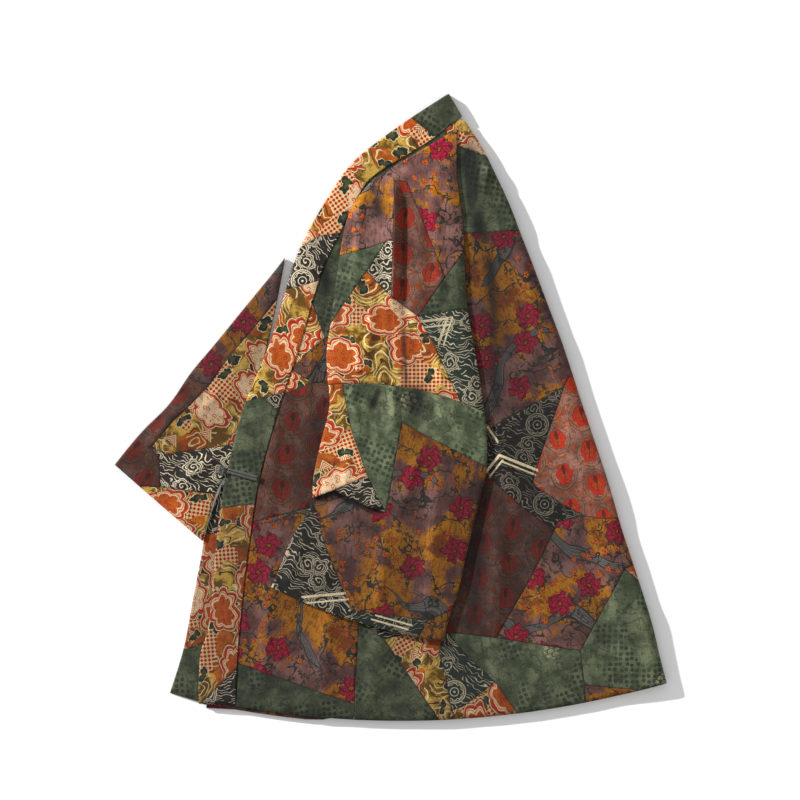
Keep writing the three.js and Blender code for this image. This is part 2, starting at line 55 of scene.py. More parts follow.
# Patchwork: print, its turn in degrees, its tone, and the patch's corners in the photograph.
# The tone is partly the patch's own lightness and partly painted light and shade: patches that
# lie in shade have darker tones.
# Corners at a panel's edge lie a little outside it.
BODY_PATCHES = [
    ("cloud", 30, 0.9, [(450, 112), (468, 108), (497, 158), (456, 146)]),
    ("green", 10, 0.66, [(440, 140), (456, 146), (487, 161), (500, 161), (532, 230), (466, 234)]),
    ("floral", -25, 0.52, [(466, 234), (532, 230), (588, 372), (571, 372), (563, 387), (487, 430),
        (450, 330)]),
    ("medallion", -12, 1.0, [(571, 372), (588, 372), (634, 517), (598, 518), (583, 515), (561, 503),
        (532, 484), (536, 469), (546, 438), (557, 406), (563, 387)]),
    ("wave", 20, 0.34, [(487, 430), (563, 387), (557, 406), (546, 438), (536, 469), (532, 484),
        (561, 503), (583, 515), (556, 522), (554, 530), (520, 505), (487, 475), (470, 450)]),
    ("medallion", 5, 0.34, [(440, 460), (487, 475), (520, 505), (554, 530), (530, 578), (496, 637),
        (446, 631)]),
    ("floral", -35, 0.62, [(554, 530), (556, 522), (583, 515), (598, 518), (634, 517), (648, 556),
        (624, 568), (580, 650), (496, 637), (530, 578)]),
    ("cloud", 40, 0.7, [(624, 568), (632, 558), (648, 556), (658, 584), (640, 582)]),
    ("green", 0, 0.74, [(624, 568), (640, 582), (658, 584), (690, 690), (640, 689), (584, 684),
        (580, 650)]),
    ("floral", 15, 0.6, [(584, 684), (640, 689), (640, 706), (586, 712)]),
    ("green", -20, 0.66, [(446, 631), (496, 637), (580, 650), (584, 684), (586, 712), (524, 722),
        (495, 681), (469, 657)]),
    ("teal", 45, 0.61, [(446, 631), (469, 657), (495, 681), (462, 706), (451, 709), (446, 675),
        (439, 652)]),
    ("cloud", -30, 0.6, [(384, 638), (413, 632), (441, 641), (439, 652), (446, 675), (451, 709),
        (447, 730)]),
    ("cloud", 60, 0.6, [(447, 730), (451, 709), (462, 706), (495, 681), (524, 722), (524, 730)]),
    ("wave", -15, 0.6, [(359, 620), (384, 638), (413, 632), (413, 610)]),
    ("green", 30, 0.5, [(359, 620), (384, 638), (447, 730), (354, 730)]),
    ("green", 15, 0.55, [(343, 225), (316, 283), (313, 303), (325, 338), (360, 338), (372, 180)]),
    ("cloud", 0, 0.95, [(300, 303), (313, 303), (325, 338), (311, 350), (292, 370), (270, 370)]),
    ("floral", 20, 0.6, [(325, 338), (360, 338), (360, 380), (313, 383), (292, 370), (311, 350)]),
    ("cloud", 25, 0.9, [(270, 370), (292, 370), (313, 383), (283, 394), (262, 400)]),
    ("medallion", 10, 0.48, [(262, 400), (283, 394), (313, 383), (360, 380), (350, 500), (311, 507),
        (256, 521), (240, 523)]),
    ("floral", 30, 0.62, [(240, 523), (256, 521), (311, 507), (350, 500), (359, 620), (354, 703),
        (226, 658)]),
    ("green", -8, 0.46, [(226, 658), (354, 703), (354, 730), (222, 720)]),
]
BAND_PATCHES = [
    ("green", 35, 0.62, [(448, 86), (470, 118), (438, 139), (424, 129), (408, 116)]),
    ("cloud", 55, 1.02, [(408, 116), (424, 129), (438, 139), (380, 190), (350, 232), (319, 237),
        (292, 254), (330, 176)]),
    ("wave", 60, 1.15, [(292, 254), (319, 237), (350, 232), (324, 279), (303, 286), (280, 291)]),
    ("cloud", 75, 1.0, [(280, 291), (303, 286), (324, 279), (296, 390), (264, 397), (240, 403)]),
    ("wave", 20, 0.75, [(264, 397), (296, 390), (278, 411)]),
    ("green", 80, 0.68, [(240, 403), (264, 397), (278, 411), (296, 390), (262, 503), (240, 505),
        (214, 509)]),
    ("cloud", 85, 0.62, [(214, 509), (240, 505), (262, 503), (246, 660), (236, 668), (192, 712),
        (205, 600)]),
    ("wave", 0, 0.75, [(246, 660), (236, 668), (192, 712), (246, 716)]),
]
FAR_BAND_PATCHES = [
    ("wave", 70, 0.75, [(212, 474), (255, 474), (245, 530), (206, 534), (198, 540)]),
    ("cloud", 80, 0.6, [(198, 540), (206, 534), (245, 530), (226, 630), (194, 647), (172, 653)]),
    ("green", 0, 0.55, [(172, 653), (194, 647), (226, 630), (220, 716), (158, 702)]),
]
FAR_SLEEVE_PATCHES = [
    ("floral", 45, 0.5, [(292, 246), (277, 300), (257, 325), (230, 356), (211, 384), (203, 384),
        (186, 374), (230, 310)]),
    ("medallion", 40, 0.42, [(186, 374), (203, 384), (211, 384), (192, 404), (174, 421), (152, 447),
        (160, 457), (161, 486), (142, 486), (102, 466), (150, 410)]),
    ("cloud", 40, 0.72, [(277, 300), (290, 320), (268, 430), (231, 445), (195, 450), (168, 455),
        (152, 447), (174, 421), (192, 404), (211, 384), (230, 356), (257, 325)]),
    ("wave", 30, 1.12, [(152, 447), (168, 455), (195, 450), (231, 445), (268, 430), (240, 500),
        (218, 494), (162, 487), (161, 486), (160, 457)]),
    ("cloud", 10, 0.85, [(142, 486), (162, 487), (218, 494), (240, 500), (225, 540), (204, 550),
        (140, 500)]),
]
SHOULDER_PATCHES = [
    ("floral", 5, 1.0, [(350, 160), (465, 112), (478, 253), (463, 254), (445, 278), (407, 183),
        (395, 182), (393, 240), (371, 248), (326, 260)]),
    ("medallion", 3, 0.8, [(407, 183), (445, 278), (418, 317), (391, 297), (393, 240), (395, 182)]),
    ("green", 20, 0.85, [(326, 260), (371, 248), (387, 241), (367, 272), (332, 322), (320, 334)]),
    ("wave", 25, 1.15, [(387, 241), (393, 240), (391, 297), (367, 272)]),
    ("cloud", 0, 0.98, [(367, 272), (391, 297), (418, 317), (433, 343), (462, 406), (470, 420),
        (320, 420), (320, 334), (332, 322)]),
    ("green", -15, 0.75, [(463, 254), (478, 253), (484, 306), (418, 317), (445, 278)]),
    ("teal", 15, 0.94, [(418, 317), (484, 306), (496, 420), (470, 420), (462, 406), (433, 343)]),
]
SLEEVE_PATCHES = [
    ("green", 25, 0.92, [(340, 370), (500, 370), (500, 472), (487, 467), (423, 434), (402, 422),
        (393, 472), (386, 512), (368, 476), (352, 431)]),
    ("cloud", -20, 0.95, [(312, 370), (340, 370), (352, 431), (368, 476), (335, 488), (311, 497),
        (296, 497)]),
    ("wave", -10, 0.9, [(368, 476), (386, 512), (362, 502), (347, 495), (335, 488)]),
    ("floral", 12, 0.58, [(311, 497), (335, 488), (347, 495), (362, 502), (386, 512), (393, 472),
        (402, 422), (423, 434), (487, 467), (500, 472), (470, 606), (452, 609), (428, 619), (352, 609),
        (338, 575), (326, 545), (317, 511)]),
    ("wave", 30, 0.62, [(296, 497), (311, 497), (317, 511), (326, 545), (338, 575), (352, 609),
        (362, 630), (255, 592)]),
    ("teal", -10, 0.47, [(352, 609), (428, 619), (413, 645), (362, 630)]),
    ("floral", -15, 0.45, [(428, 619), (452, 609), (470, 606), (455, 655), (413, 645)]),
]

# The right half beneath shows only at the hem and from below: like patches of other prints
OTHER_PRINT = {
    "green": "floral", "floral": "green", "medallion": "teal", "wave": "medallion",
    "teal": "cloud", "cloud": "wave",
}
HIDDEN_PATCHES = [
    (OTHER_PRINT[kind], turn + 70, tone, corners)
    for kind, turn, tone, corners in BODY_PATCHES
]

# Cream bars printed or pieced on the dark patches: start, end and width, in the photograph
BODY_BARS = [
    (484, 474, 499, 455, 2.6), (489, 477, 502, 460, 1.6), (499, 455, 537, 470, 2.6),
    (501, 461, 536, 475, 1.6), (488, 428, 497, 441, 2.2),
]
SHOULDER_BARS = [
    (421, 322, 447, 319, 2.4), (424, 328, 449, 325, 1.6), (447, 319, 438, 345, 2.4),
    (452, 318, 443, 346, 1.6),
]
SLEEVE_BARS = [
    (303, 596, 345, 592, 2.4), (305, 602, 348, 598, 1.6), (372, 618, 408, 628, 1.6),
    (376, 614, 412, 624, 1.6),
]

# Creases finer than the solids' folds: start and end in the photograph, height and width in
# millimetres. A height below zero is a trough. The height also sets painted shade in a trough
# and painted light on a ridge.
BODY_CREASES = [
    (488, 165, 467, 238, 2.6, 6), (502, 176, 516, 232, 1.0, 7), (484, 236, 494, 318, -1.5, 7),
    (516, 246, 545, 350, 1.5, 9), (500, 300, 522, 400, -1.3, 9), (548, 330, 572, 452, 1.2, 10),
    (498, 440, 520, 520, 1.3, 8), (520, 460, 560, 560, -1.0, 10), (500, 520, 494, 632, 1.6, 9),
    (535, 560, 552, 690, 1.5, 10), (576, 520, 604, 660, -1.2, 10), (604, 540, 628, 676, 1.7, 10),
    (640, 600, 652, 684, 1.1, 7), (468, 636, 473, 704, -1.3, 7), (488, 640, 500, 706, 1.2, 8),
    (424, 646, 430, 714, 1.5, 8), (400, 640, 396, 712, -1.0, 7), (376, 632, 368, 716, 1.3, 8),
    (330, 604, 322, 706, 1.3, 9), (300, 600, 286, 700, -0.9, 9), (272, 560, 262, 690, 1.0, 8),
    (300, 400, 288, 500, -1.2, 8), (276, 420, 268, 520, 1.0, 7), (318, 330, 306, 400, 1.2, 6),
    (468, 140, 478, 244, -6.0, 11), (324, 256, 328, 300, -4.6, 8), (322, 396, 306, 500, -2.8, 9),
    (490, 250, 497, 420, -3.0, 8), (482, 470, 470, 636, -3.2, 10), (560, 250, 600, 372, 0.9, 8),
    (590, 400, 622, 520, 1.2, 9), (430, 640, 520, 664, -1.2, 7),
]
ARM_CREASES = [
    (395, 186, 393, 300, 1.4, 4), (405, 192, 404, 330, -1.9, 4), (419, 200, 425, 300, -1.2, 6),
    (432, 178, 440, 300, 1.3, 7), (450, 150, 456, 260, -1.0, 5), (362, 200, 352, 300, 1.0, 6),
    (344, 262, 336, 340, -1.1, 5), (372, 300, 366, 372, 1.1, 6), (388, 310, 392, 384, -1.3, 4),
    (410, 326, 416, 382, -1.4, 4), (432, 330, 442, 388, 1.0, 5), (381, 384, 370, 412, -5.0, 4.5),
    (393, 384, 395, 434, 1.6, 5), (413, 384, 419, 424, -5.5, 13), (403, 326, 406, 386, -4.0, 4),
    (434, 386, 448, 434, 1.3, 6), (352, 386, 358, 424, 1.2, 5), (365, 380, 362, 404, -1.1, 4),
    (450, 404, 470, 452, 1.0, 6), (430, 446, 470, 466, -1.0, 5), (326, 512, 350, 504, 1.5, 6),
    (346, 506, 378, 520, 1.2, 6), (330, 524, 338, 570, -1.1, 6), (362, 524, 354, 596, -1.4, 7),
    (384, 530, 380, 606, 1.3, 7), (412, 500, 404, 614, -1.2, 8), (438, 470, 426, 612, 1.4, 8),
    (462, 476, 448, 606, -1.3, 7), (304, 540, 286, 584, 1.2, 6), (340, 560, 316, 604, -1.0, 5),
    (386, 384, 384, 400, -1.8, 4), (372, 194, 384, 226, -4.2, 10), (410, 236, 414, 286, -1.8, 4),
    (372, 226, 384, 300, -1.0, 6), (424, 150, 420, 190, -1.0, 7), (340, 300, 330, 350, -1.2, 6),
    (356, 330, 360, 380, 1.3, 5), (420, 452, 396, 520, 1.0, 7), (350, 440, 344, 486, 1.0, 6),
]
FAR_CREASES = [
    (142, 452, 186, 400, 1.0, 6), (150, 470, 206, 440, -0.9, 6), (176, 486, 222, 452, 1.1, 6),
    (214, 372, 248, 320, -1.0, 5), (172, 500, 196, 524, 0.9, 5), (196, 418, 226, 384, 1.0, 6),
]

# Elbow fold, in millimetres: cloth above this line laps over the cloth below it. Each height
# fades over its reach, and the fold fades out over the last share of the line.
ELBOW_LINE = [(298, 499), (311, 497), (335, 488), (347, 495), (362, 502), (386, 512)]
ELBOW_RISE, RISE_REACH = 4.2, 11
ELBOW_DROP, DROP_REACH = 2.4, 7
ELBOW_LAP, LAP_REACH = 2.6, 5
ELBOW_EDGE = 0.7
ELBOW_FADE = (0.80, 1.0)
ELBOW_CUTS = (-4.5, -2.0, -0.8, 0.0, 0.8, 2.0, 4.5)
# Painted shadow under the lap: its darkness, how far below the line it lies, and its width
ELBOW_SHADE, SHADE_BELOW, SHADE_WIDTH = 9.0, 2.8, 3.6

# Real folds: how much higher ridges stand and how much flatter troughs lie than listed above,
# the floor that troughs keep, and how much painted shade darkens a trough, and painted light
# brightens a ridge, for each millimetre
RIDGE_GAIN = 1.8
TROUGH_GAIN = 0.35
TROUGH_FLOOR = -0.25
CREASE_TAPER = 2.5
FOLD_SHADE = 0.20
FOLD_LEVEL = 10.0

# Lumps and wrinkles: size across and along, place in the noise, and height, in millimetres.
# Cloth that lies on the floor has none, and they come in between two heights above it.
LUMP_LEVEL = 0.45
LUMPS = (34, 52, 3.1, 0.42)
WRINKLES = (11, 19, 8.7, 0.16)
# Painted shade and light for each millimetre a lump stands above or below its level
LUMP_SHADE = 1.2
OFF_FLOOR = (2, 6)

# The right band stands out by this much, with its rise and fall along the photograph's height
FAR_BAND_SHIFT = 1.0
FAR_BAND_FROM = (-172, -160)
FAR_BAND_TO = (-112, -100)

# Sleeves are tubes: the wall, and the height under which a tube counts as one edge
SLEEVE_WALL = 1.6
THIN_TUBE = 3.6
RAY_TOP, RAY_BOTTOM = 200, -100

# Finer meshes: the welding distance in metres, how unlike two triangles of a quad may be, and
# the angle in degrees and the strength of rims that stay sharp
WELD = 2e-6
JOIN_ANGLE, JOIN_SHAPE = 0.6, 1.2
RIM_ANGLE, RIM_CREASE = 62, 0.75
CUT_REACH = 2.5
SEAM_STEP = 0.5
SEAM_FAR = 9.0

# Each patch is cut from its own part of the print, in centimetres
PRINT_START = (5.0, 3.0)
PRINT_STEP = (13.7, 7.9)
BAR_TONE = 0.9

# Dyes: strength of colour, how a patch's tone becomes light, and the darkest and lightest
# that painted shade and painted light may make the cloth
PRINTS = ["green", "floral", "medallion", "wave", "teal", "cloud", "bar"]
DYE_STRENGTH = {"green": 1.05, "wave": 1.0, "teal": 1.0, "bar": 1.0}
DYE_USUAL = 1.2
TONE_POWER, TONE_GAIN = 1.4, 0.69
PAINTED_DARKEST, PAINTED_LIGHTEST = 0.16, 1.18
YARN_FINE, YARN_LONG = 9.0, 0.9

# Panels: visual piece, node it stands for, slot, patches, bars, creases, subdivision level
PANELS = [
    ("left_front_cloth", "left_front", "cotton_medallion", BODY_PATCHES, [], [], 2),
    ("left_back_cloth", "left_back", "cotton_floral", BODY_PATCHES, BODY_BARS, [], 2),
    ("left_band_cloth", "left_band", "cotton_cloud", BAND_PATCHES, [], [], 2),
    ("left_shoulder_cloth", "left_shoulder", "cotton_floral", SHOULDER_PATCHES, SHOULDER_BARS,
     ARM_CREASES, 2),
    ("left_sleeve_cloth", "left_sleeve", "cotton_floral", SLEEVE_PATCHES, SLEEVE_BARS, ARM_CREASES, 2),
    ("right_sleeve_cloth", "right_sleeve", "cotton_cloud", FAR_SLEEVE_PATCHES, [], FAR_CREASES, 2),
    ("right_band_cloth", "right_band", "cotton_cloud", FAR_BAND_PATCHES, [], [], 2),
    ("hidden_layers", "hidden_body", "cotton_green", HIDDEN_PATCHES, [], [], 0),
]

# Stitches, in millimetres, and how far apart two may be before the line breaks
STITCH_PITCH = 3.0
STITCH_LENGTH = 2.1
STITCH_RADIUS = 0.28
STITCH_STAND = 0.3
STITCH_BREAK = 2.2
EDGE_REACH = 800.0
EDGE_STEP = 1.0

# Each panel's stitch lines: the way to the edge, the stretch across it, and how far inside they run
STITCH_LINES = {
    "left_front_cloth": [((0, -1), (-205, -40), 22)],
    "left_back_cloth": [((0, -1), (-46, 322), 22)],
    "left_sleeve_cloth": [((0, -1), (-128, 74), 18)],
    "left_band_cloth": [((1, 0), (-350, 215), 2.5)],
    "right_band_cloth": [((-1, 0), (-330, -170), 3)],
}

# Frog fastener: the strap's line in the photograph, its cords, and the winding of the knot
CORD_PATH = [(262, 479), (254, 477.2), (246, 475), (238, 472.8), (230, 470.6), (225, 469.5)]
CORD_RADIUS = 1.7
CORD_SIDES = 10
CORD_STEPS = 6
CORD_SQUEEZE = 0.05
KNOT_CORD = 1.35
KNOT_TURNS = 3
KNOT_BIGHTS = 4
KNOT_STEPS = 220
KNOT_RISE = 1.05
KNOT_REACH, KNOT_SWELL = 0.94, 0.06

# Stage, light and camera
FLOOR_SIZE = 8
WORLD_STRENGTH = 0.64
SUN_STRENGTH = 5.4
SUN_ANGLE = 2.0
TO_SUN = (-0.78, 0.46, 0.34)
CAMERA_HEIGHT = 2.6
SENSOR_MM = 36


# Shader nodes

def feed(entry, value):
    """Gives a node's input a number, a colour, a socket or a shader value."""
    if isinstance(value, Calc):
        value = value.socket
    if isinstance(value, bpy.types.NodeSocket):
        entry.id_data.links.new(value, entry)
    else:
        entry.default_value = value


def new_node(near, kind):
    """A node of one kind, in the tree that a socket belongs to."""
    return near.id_data.nodes.new("ShaderNode" + kind)


class Calc:
    """A shader value that can be used in arithmetic."""

    def __init__(self, socket):
        self.socket = socket

    def op(self, name, *others):
        node = new_node(self.socket, "Math")
        node.operation = name
        for entry, value in zip(node.inputs, (self, *others)):
            feed(entry, value)
        return Calc(node.outputs[0])

    def __add__(self, other):
        return self.op("ADD", other)

    def __sub__(self, other):
        return self.op("SUBTRACT", other)

    def __mul__(self, other):
        return self.op("MULTIPLY", other)

    def __truediv__(self, other):
        return self.op("DIVIDE", other)

    def __lt__(self, other):
        return self.op("LESS_THAN", other)

    def __gt__(self, other):
        return self.op("GREATER_THAN", other)

    def abs(self):
        return self.op("ABSOLUTE")

    def sin(self):
        return self.op("SINE")

    def cos(self):
        return self.op("COSINE")

    def max(self, other):
        return self.op("MAXIMUM", other)

    def min(self, other):
        return self.op("MINIMUM", other)

    def inverse(self):
        return self * -1.0 + 1.0

    def soft(self, low, high):
        """0 below low, 1 above high, smooth between."""
        node = new_node(self.socket, "MapRange")
        node.interpolation_type = "SMOOTHSTEP"
        feed(node.inputs["Value"], self)
        feed(node.inputs["From Min"], low)
        feed(node.inputs["From Max"], high)
        return Calc(node.outputs["Result"])


def vector_op(name, first, second=None, scale=None):
    node = new_node(first, "VectorMath")
    node.operation = name
    feed(node.inputs[0], first)
    if second is not None:
        feed(node.inputs[1], second)
    if scale is not None:
        feed(node.inputs["Scale"], scale)
    return node.outputs[0]


def parts(vector):
    node = new_node(vector, "SeparateXYZ")
    feed(node.inputs[0], vector)
    return [Calc(socket) for socket in node.outputs]


def combine(x, y):
    node = new_node(x.socket, "CombineXYZ")
    feed(node.inputs[0], x)
    feed(node.inputs[1], y)
    return node.outputs[0]


def noise(vector, scale, detail=2.0, roughness=0.5):
    node = new_node(vector, "TexNoise")
    node.noise_dimensions = "2D"
    feed(node.inputs["Vector"], vector)
    feed(node.inputs["Scale"], scale)
    feed(node.inputs["Detail"], detail)
    feed(node.inputs["Roughness"], roughness)
    return node.outputs


def fac(vector, scale, detail=2.0, roughness=0.5):
    return Calc(noise(vector, scale, detail, roughness)["Fac"])


def cells(vector, scale, randomness):
    node = new_node(vector, "TexVoronoi")
    node.voronoi_dimensions = "2D"
    feed(node.inputs["Vector"], vector)
    feed(node.inputs["Scale"], scale)
    feed(node.inputs["Randomness"], randomness)
    return node


def polar_cells(vector, scale, randomness):
    """The distance and angle from the middle of each motif's cell, in cell units, and its random values."""
    outputs = cells(vector, scale, randomness).outputs
    scaled = vector_op("SCALE", vector, scale=scale)
    centre = vector_op("SCALE", outputs["Position"], scale=scale)
    dx, dy, _ = parts(vector_op("SUBTRACT", scaled, centre))
    chance, kind, _ = parts(outputs["Color"])
    return Calc(outputs["Distance"]), dy.op("ARCTAN2", dx), chance, kind


def warped(vector, scale, amount):
    """The place, moved about by soft noise."""
    shift = vector_op("SUBTRACT", noise(vector, scale)["Color"], (0.5, 0.5, 0.5))
    return vector_op("ADD", vector, vector_op("SCALE", shift, scale=amount))


def rgb(r, g, b):
    """A colour given in screen values from 0 to 255, as linear light."""
    light = (((v / 255 + 0.055) / 1.055) ** 2.4 if v > 10 else v / 255 / 12.92 for v in (r, g, b))
    return (*light, 1.0)


def mixed(mask, low, high):
    """low where the mask is 0 and high where it is 1; each is a colour or a socket."""
    node = new_node(mask.socket, "Mix")
    node.data_type = "RGBA"
    feed(node.inputs["Factor"], mask)
    feed(node.inputs[6], low)
    feed(node.inputs[7], high)
    return node.outputs[2]


def layered(colour, measure, mask, layers):
    """Paints one tone after another where the measure is below each layer's limit."""
    for limit, tone in layers:
        colour = mixed((measure < limit) * mask, colour, tone)
    return colour


def attribute(tree, name):
    """The outputs of a value that the mesh carries."""
    node = tree.nodes.new("ShaderNodeAttribute")
    node.attribute_name = name
    return node.outputs


def new_material(name):
    material = bpy.data.materials.new(name)
    material.use_nodes = True
    return material, material.node_tree, material.node_tree.nodes["Principled BSDF"]


def add_bump(shader, height, strength, distance):
    node = new_node(height.socket, "Bump")
    feed(node.inputs["Strength"], strength)
    feed(node.inputs["Distance"], distance)
    feed(node.inputs["Height"], height)
    feed(shader.inputs["Normal"], node.outputs[0])


# The printed cottons. Each takes the place in the print, in centimetres, and returns its colour.
# Scales are motifs per centimetre, and a motif's own sizes are shares of its cell.

def green_print(vector):
    colour = mixed(fac(vector, 0.45, 4, 0.6).soft(0.34, 0.68), rgb(76, 87, 61), rgb(122, 131, 99))
    zone = fac(vector, 0.16, 1).soft(0.53, 0.57)
    distance, *_ = polar_cells(vector, 1.5, 0.35)
    colour = mixed((distance < 0.36) * zone * 0.85, colour, rgb(48, 58, 44))
    scroll = (fac(warped(vector, 0.6, 1.2), 0.5, 1) * 26.0).sin()
    colour = mixed((scroll > 0.86) * zone.inverse() * 0.6, colour, rgb(52, 62, 46))
    distance, angle, chance, _ = polar_cells(vector, 0.21, 1.0)
    leaf = (distance < (angle * 3.0).cos().abs() * 0.08 + 0.04) * (chance > 0.5)
    colour = mixed(leaf * 0.75, colour, rgb(56, 66, 48))
    # Small cream fans, a few together
    x, y, _ = parts(vector)
    group = cells(vector, 0.105, 0.8)
    near = (Calc(group.outputs["Distance"]) < 0.1) * (parts(group.outputs["Color"])[0] > 0.45)
    row = (y * 1.9).op("FLOOR")
    fan_x = (x * 1.1 + row * 0.5).op("FRACT") - 0.5
    fan_y = (y * 1.9).op("FRACT")
    radius = (fan_x * fan_x + fan_y * fan_y * 0.25).op("SQRT")
    fan = (radius < 0.44) * ((radius * 42.0).sin() > -0.2) * near
    return mixed(fan * 0.85, colour, rgb(206, 196, 156))


def floral_print(vector):
    wobbly = warped(vector, 0.5, 1.2)
    slow = warped(vector, 0.10, 6.0)
    colour = mixed(fac(vector, 0.3, 3).soft(0.3, 0.7), rgb(112, 78, 74), rgb(166, 128, 122))
    wash = fac(wobbly, 0.15, 3, 0.6) + (fac(vector, 3.0, 2) - 0.5) * 0.14
    colour = mixed(wash.soft(0.47, 0.56), colour, rgb(204, 134, 50))
    colour = mixed(wash.soft(0.61, 0.70), colour, rgb(150, 80, 38))
    x, y, _ = parts(vector)
    strokes = fac(combine(x * 2.6, y * 0.8), 1.3, 2).soft(0.56, 0.64)
    colour = mixed(strokes * 0.5, colour, rgb(84, 56, 44))
    # Branches: long flowing ribbons, grey with dark edges and veins
    flow = fac(slow, 0.066, 0.5, 0.4) - 0.5
    width = fac(vector, 0.09, 1).soft(0.42, 0.54) * 0.030
    colour = mixed(flow.abs() < width, colour, rgb(48, 44, 42))
    vein = (flow * 520.0).sin() * 0.5 + 0.5
    colour = mixed((flow.abs() < width - 0.006) * (vein * 0.7 + 0.3), colour, rgb(126, 120, 116))
    # Stems and leaves
    growth = fac(wobbly, 0.27, 2, 0.4) - 0.5
    colour = mixed(growth.abs() < 0.010, colour, rgb(54, 46, 40))
    distance, angle, chance, kind = polar_cells(wobbly, 1.15, 0.95)
    lobes = ((angle + kind * 6.28) * 1.5).cos().abs() * 0.34 + 0.02
    leaf = (distance < lobes) * (growth.abs() < 0.085) * (chance > 0.2)
    colour = mixed(leaf, colour, rgb(56, 58, 48))
    # Small flowers, a few together
    distance, angle, chance, kind = polar_cells(wobbly, 0.85, 0.9)
    small = distance / ((angle * 2.5 + kind * 6.28).cos().abs() * 0.20 + 0.16)
    together = fac(vector, 0.17, 1) > 0.52
    colour = layered(colour, small, (chance > 0.5) * together, (
        (1.0, rgb(100, 36, 28)), (0.85, rgb(206, 92, 46)), (0.5, rgb(222, 140, 66)),
        (0.28, rgb(120, 36, 32)),
    ))
    # Peonies, ragged, with dark gaps between the petals
    ragged = warped(vector, 1.1, 0.7)
    distance, angle, chance, kind = polar_cells(ragged, 0.185, 0.9)
    petals = (angle * 2.5 + kind * 6.28).cos().abs() * 0.09 + (angle * 4.5).cos().abs() * 0.05 + 0.17
    peony = distance / petals
    shown = chance > 0.30
    colour = layered(colour, peony, shown, (
        (1.0, rgb(84, 26, 34)), (0.93, rgb(184, 44, 66)), (0.76, rgb(104, 26, 38)),
        (0.70, rgb(206, 84, 104)),
        (0.52, rgb(124, 28, 44)), (0.45, rgb(192, 52, 70)), (0.26, rgb(90, 28, 34)),
        (0.14, rgb(196, 120, 70)),
    ))
    gap = ((angle * 7.0 + distance * 30.0).sin() > 0.6) * (peony < 0.95) * shown
    return mixed(gap * 0.8, colour, rgb(88, 26, 36))


def medallion_print(vector):
    mottle = fac(vector, 0.35, 4, 0.6)
    colour = mixed(mottle.soft(0.32, 0.7), rgb(112, 76, 68), rgb(170, 130, 118))
    scroll = fac(warped(vector, 0.8, 1.0), 0.55, 1)
    colour = mixed(((scroll * 30.0).sin() > 0.82) * 0.6, colour, rgb(88, 64, 54))
    colour = mixed(((scroll * 17.0).sin() > 0.9) * 0.6, colour, rgb(174, 92, 58))
    # Pointed ovals in rows, each second column half a row lower
    x, y, _ = parts(warped(vector, 0.4, 0.7))
    column = (x / 3.5).op("FLOOR")
    across = ((x / 3.5).op("FRACT") - 0.5).abs()
    up = (y / 4.2 + column * 0.5).op("FRACT") - 0.5
    oval = (across * across * 0.95 + up * up).op("SQRT") + up.max(0.0) * across * 1.3
    for radius, width, tone in (
        (0.455, 0.011, rgb(78, 58, 46)), (0.415, 0.009, rgb(146, 110, 74)), (0.375, 0.007, rgb(90, 58, 48)),
    ):
        colour = mixed(((oval - radius).abs() < width) * 0.85, colour, tone)
    # In each oval a red bloom, split by a dark bud on its stem
    low = up + 0.03
    turn = low.op("ARCTAN2", across)
    bloom = (across * across * 1.05 + low * low).op("SQRT") - (turn * 3.0).cos().abs() * 0.05 + 0.02
    veins = fac(combine(x * 3.0, y * 1.2), 1.2, 2).soft(0.35, 0.65) * 0.45 + 0.55
    colour = mixed(bloom.soft(0.25, 0.31).inverse() * veins, colour, rgb(190, 54, 42))
    colour = mixed(((bloom - 0.285).abs() < 0.008) * 0.8, colour, rgb(92, 34, 30))
    colour = mixed(bloom.soft(0.10, 0.20).inverse() * 0.6, colour, rgb(164, 100, 80))
    colour = mixed(((bloom - 0.16).abs() < 0.009) * 0.7, colour, rgb(104, 40, 34))
    wide = across * 1.7
    high = up - 0.12
    bud = (wide * wide + high * high).op("SQRT")
    colour = mixed(bud.soft(0.10, 0.16).inverse() * 0.85, colour, rgb(74, 36, 34))
    colour = mixed(((bud - 0.22).abs() < 0.010) * 0.7, colour, rgb(120, 60, 48))
    stem = (across < 0.012) * (up < 0.0) * (up > -0.22)
    colour = mixed(stem, colour, rgb(70, 40, 34))
    small, turn, chance, kind = polar_cells(vector, 0.95, 0.8)
    sprig = (small < (turn * 2.5).cos().abs() * 0.16 + 0.07) * (oval > 0.43) * (chance > 0.4)
    return mixed(sprig * 0.8, colour, mixed(kind > 0.6, rgb(92, 70, 50), rgb(164, 66, 52)))


def wave_lines(vector):
    """Thin line work: flowing strands, scalloped curls and now and then a wheel. Returns its mask."""
    moved = warped(vector, 0.4, 2.6)
    x, y, _ = parts(moved)
    strand = ((y * 2.5 + (x * 1.9).sin() * 0.45).op("FRACT") - 0.5).abs()
    unbroken = fac(combine(x * 0.55, y * 2.2), 1.0, 1) > 0.45
    lines = (strand < 0.115) * unbroken
    distance, angle, chance, kind = polar_cells(warped(vector, 0.6, 0.8), 0.36, 0.9)
    ring = distance - (angle * 2.5 + kind * 6.28).cos().abs() * 0.10
    shown = chance > 0.35
    curl = ((ring - 0.30).abs() < 0.020).max((ring - 0.22).abs() < 0.017)
    curl = curl.max(((distance * 40.0 + angle).sin() > 0.62) * (ring < 0.17))
    within = (ring < 0.335) * shown
    lines = lines * within.inverse() + curl * within
    wheel, turn, wheel_chance, _ = polar_cells(vector, 0.24, 0.5)
    near = (wheel < 0.36) * (wheel_chance > 0.62)
    rim = ((wheel - 0.32).abs() < 0.016).max((wheel - 0.27).abs() < 0.010)
    rim = rim.max((wheel - 0.12).abs() < 0.012).max(wheel < 0.035)
    petals = (wheel - 0.20 - (turn * 4.0).cos().abs() * 0.05).abs() < 0.012
    return (lines * near.inverse()).max(rim.max(petals) * near)


def dark_print(vector, low, high, ink):
    colour = mixed(fac(vector, 0.7, 3), low, high)
    return mixed(wave_lines(vector) * 0.9, colour, ink)


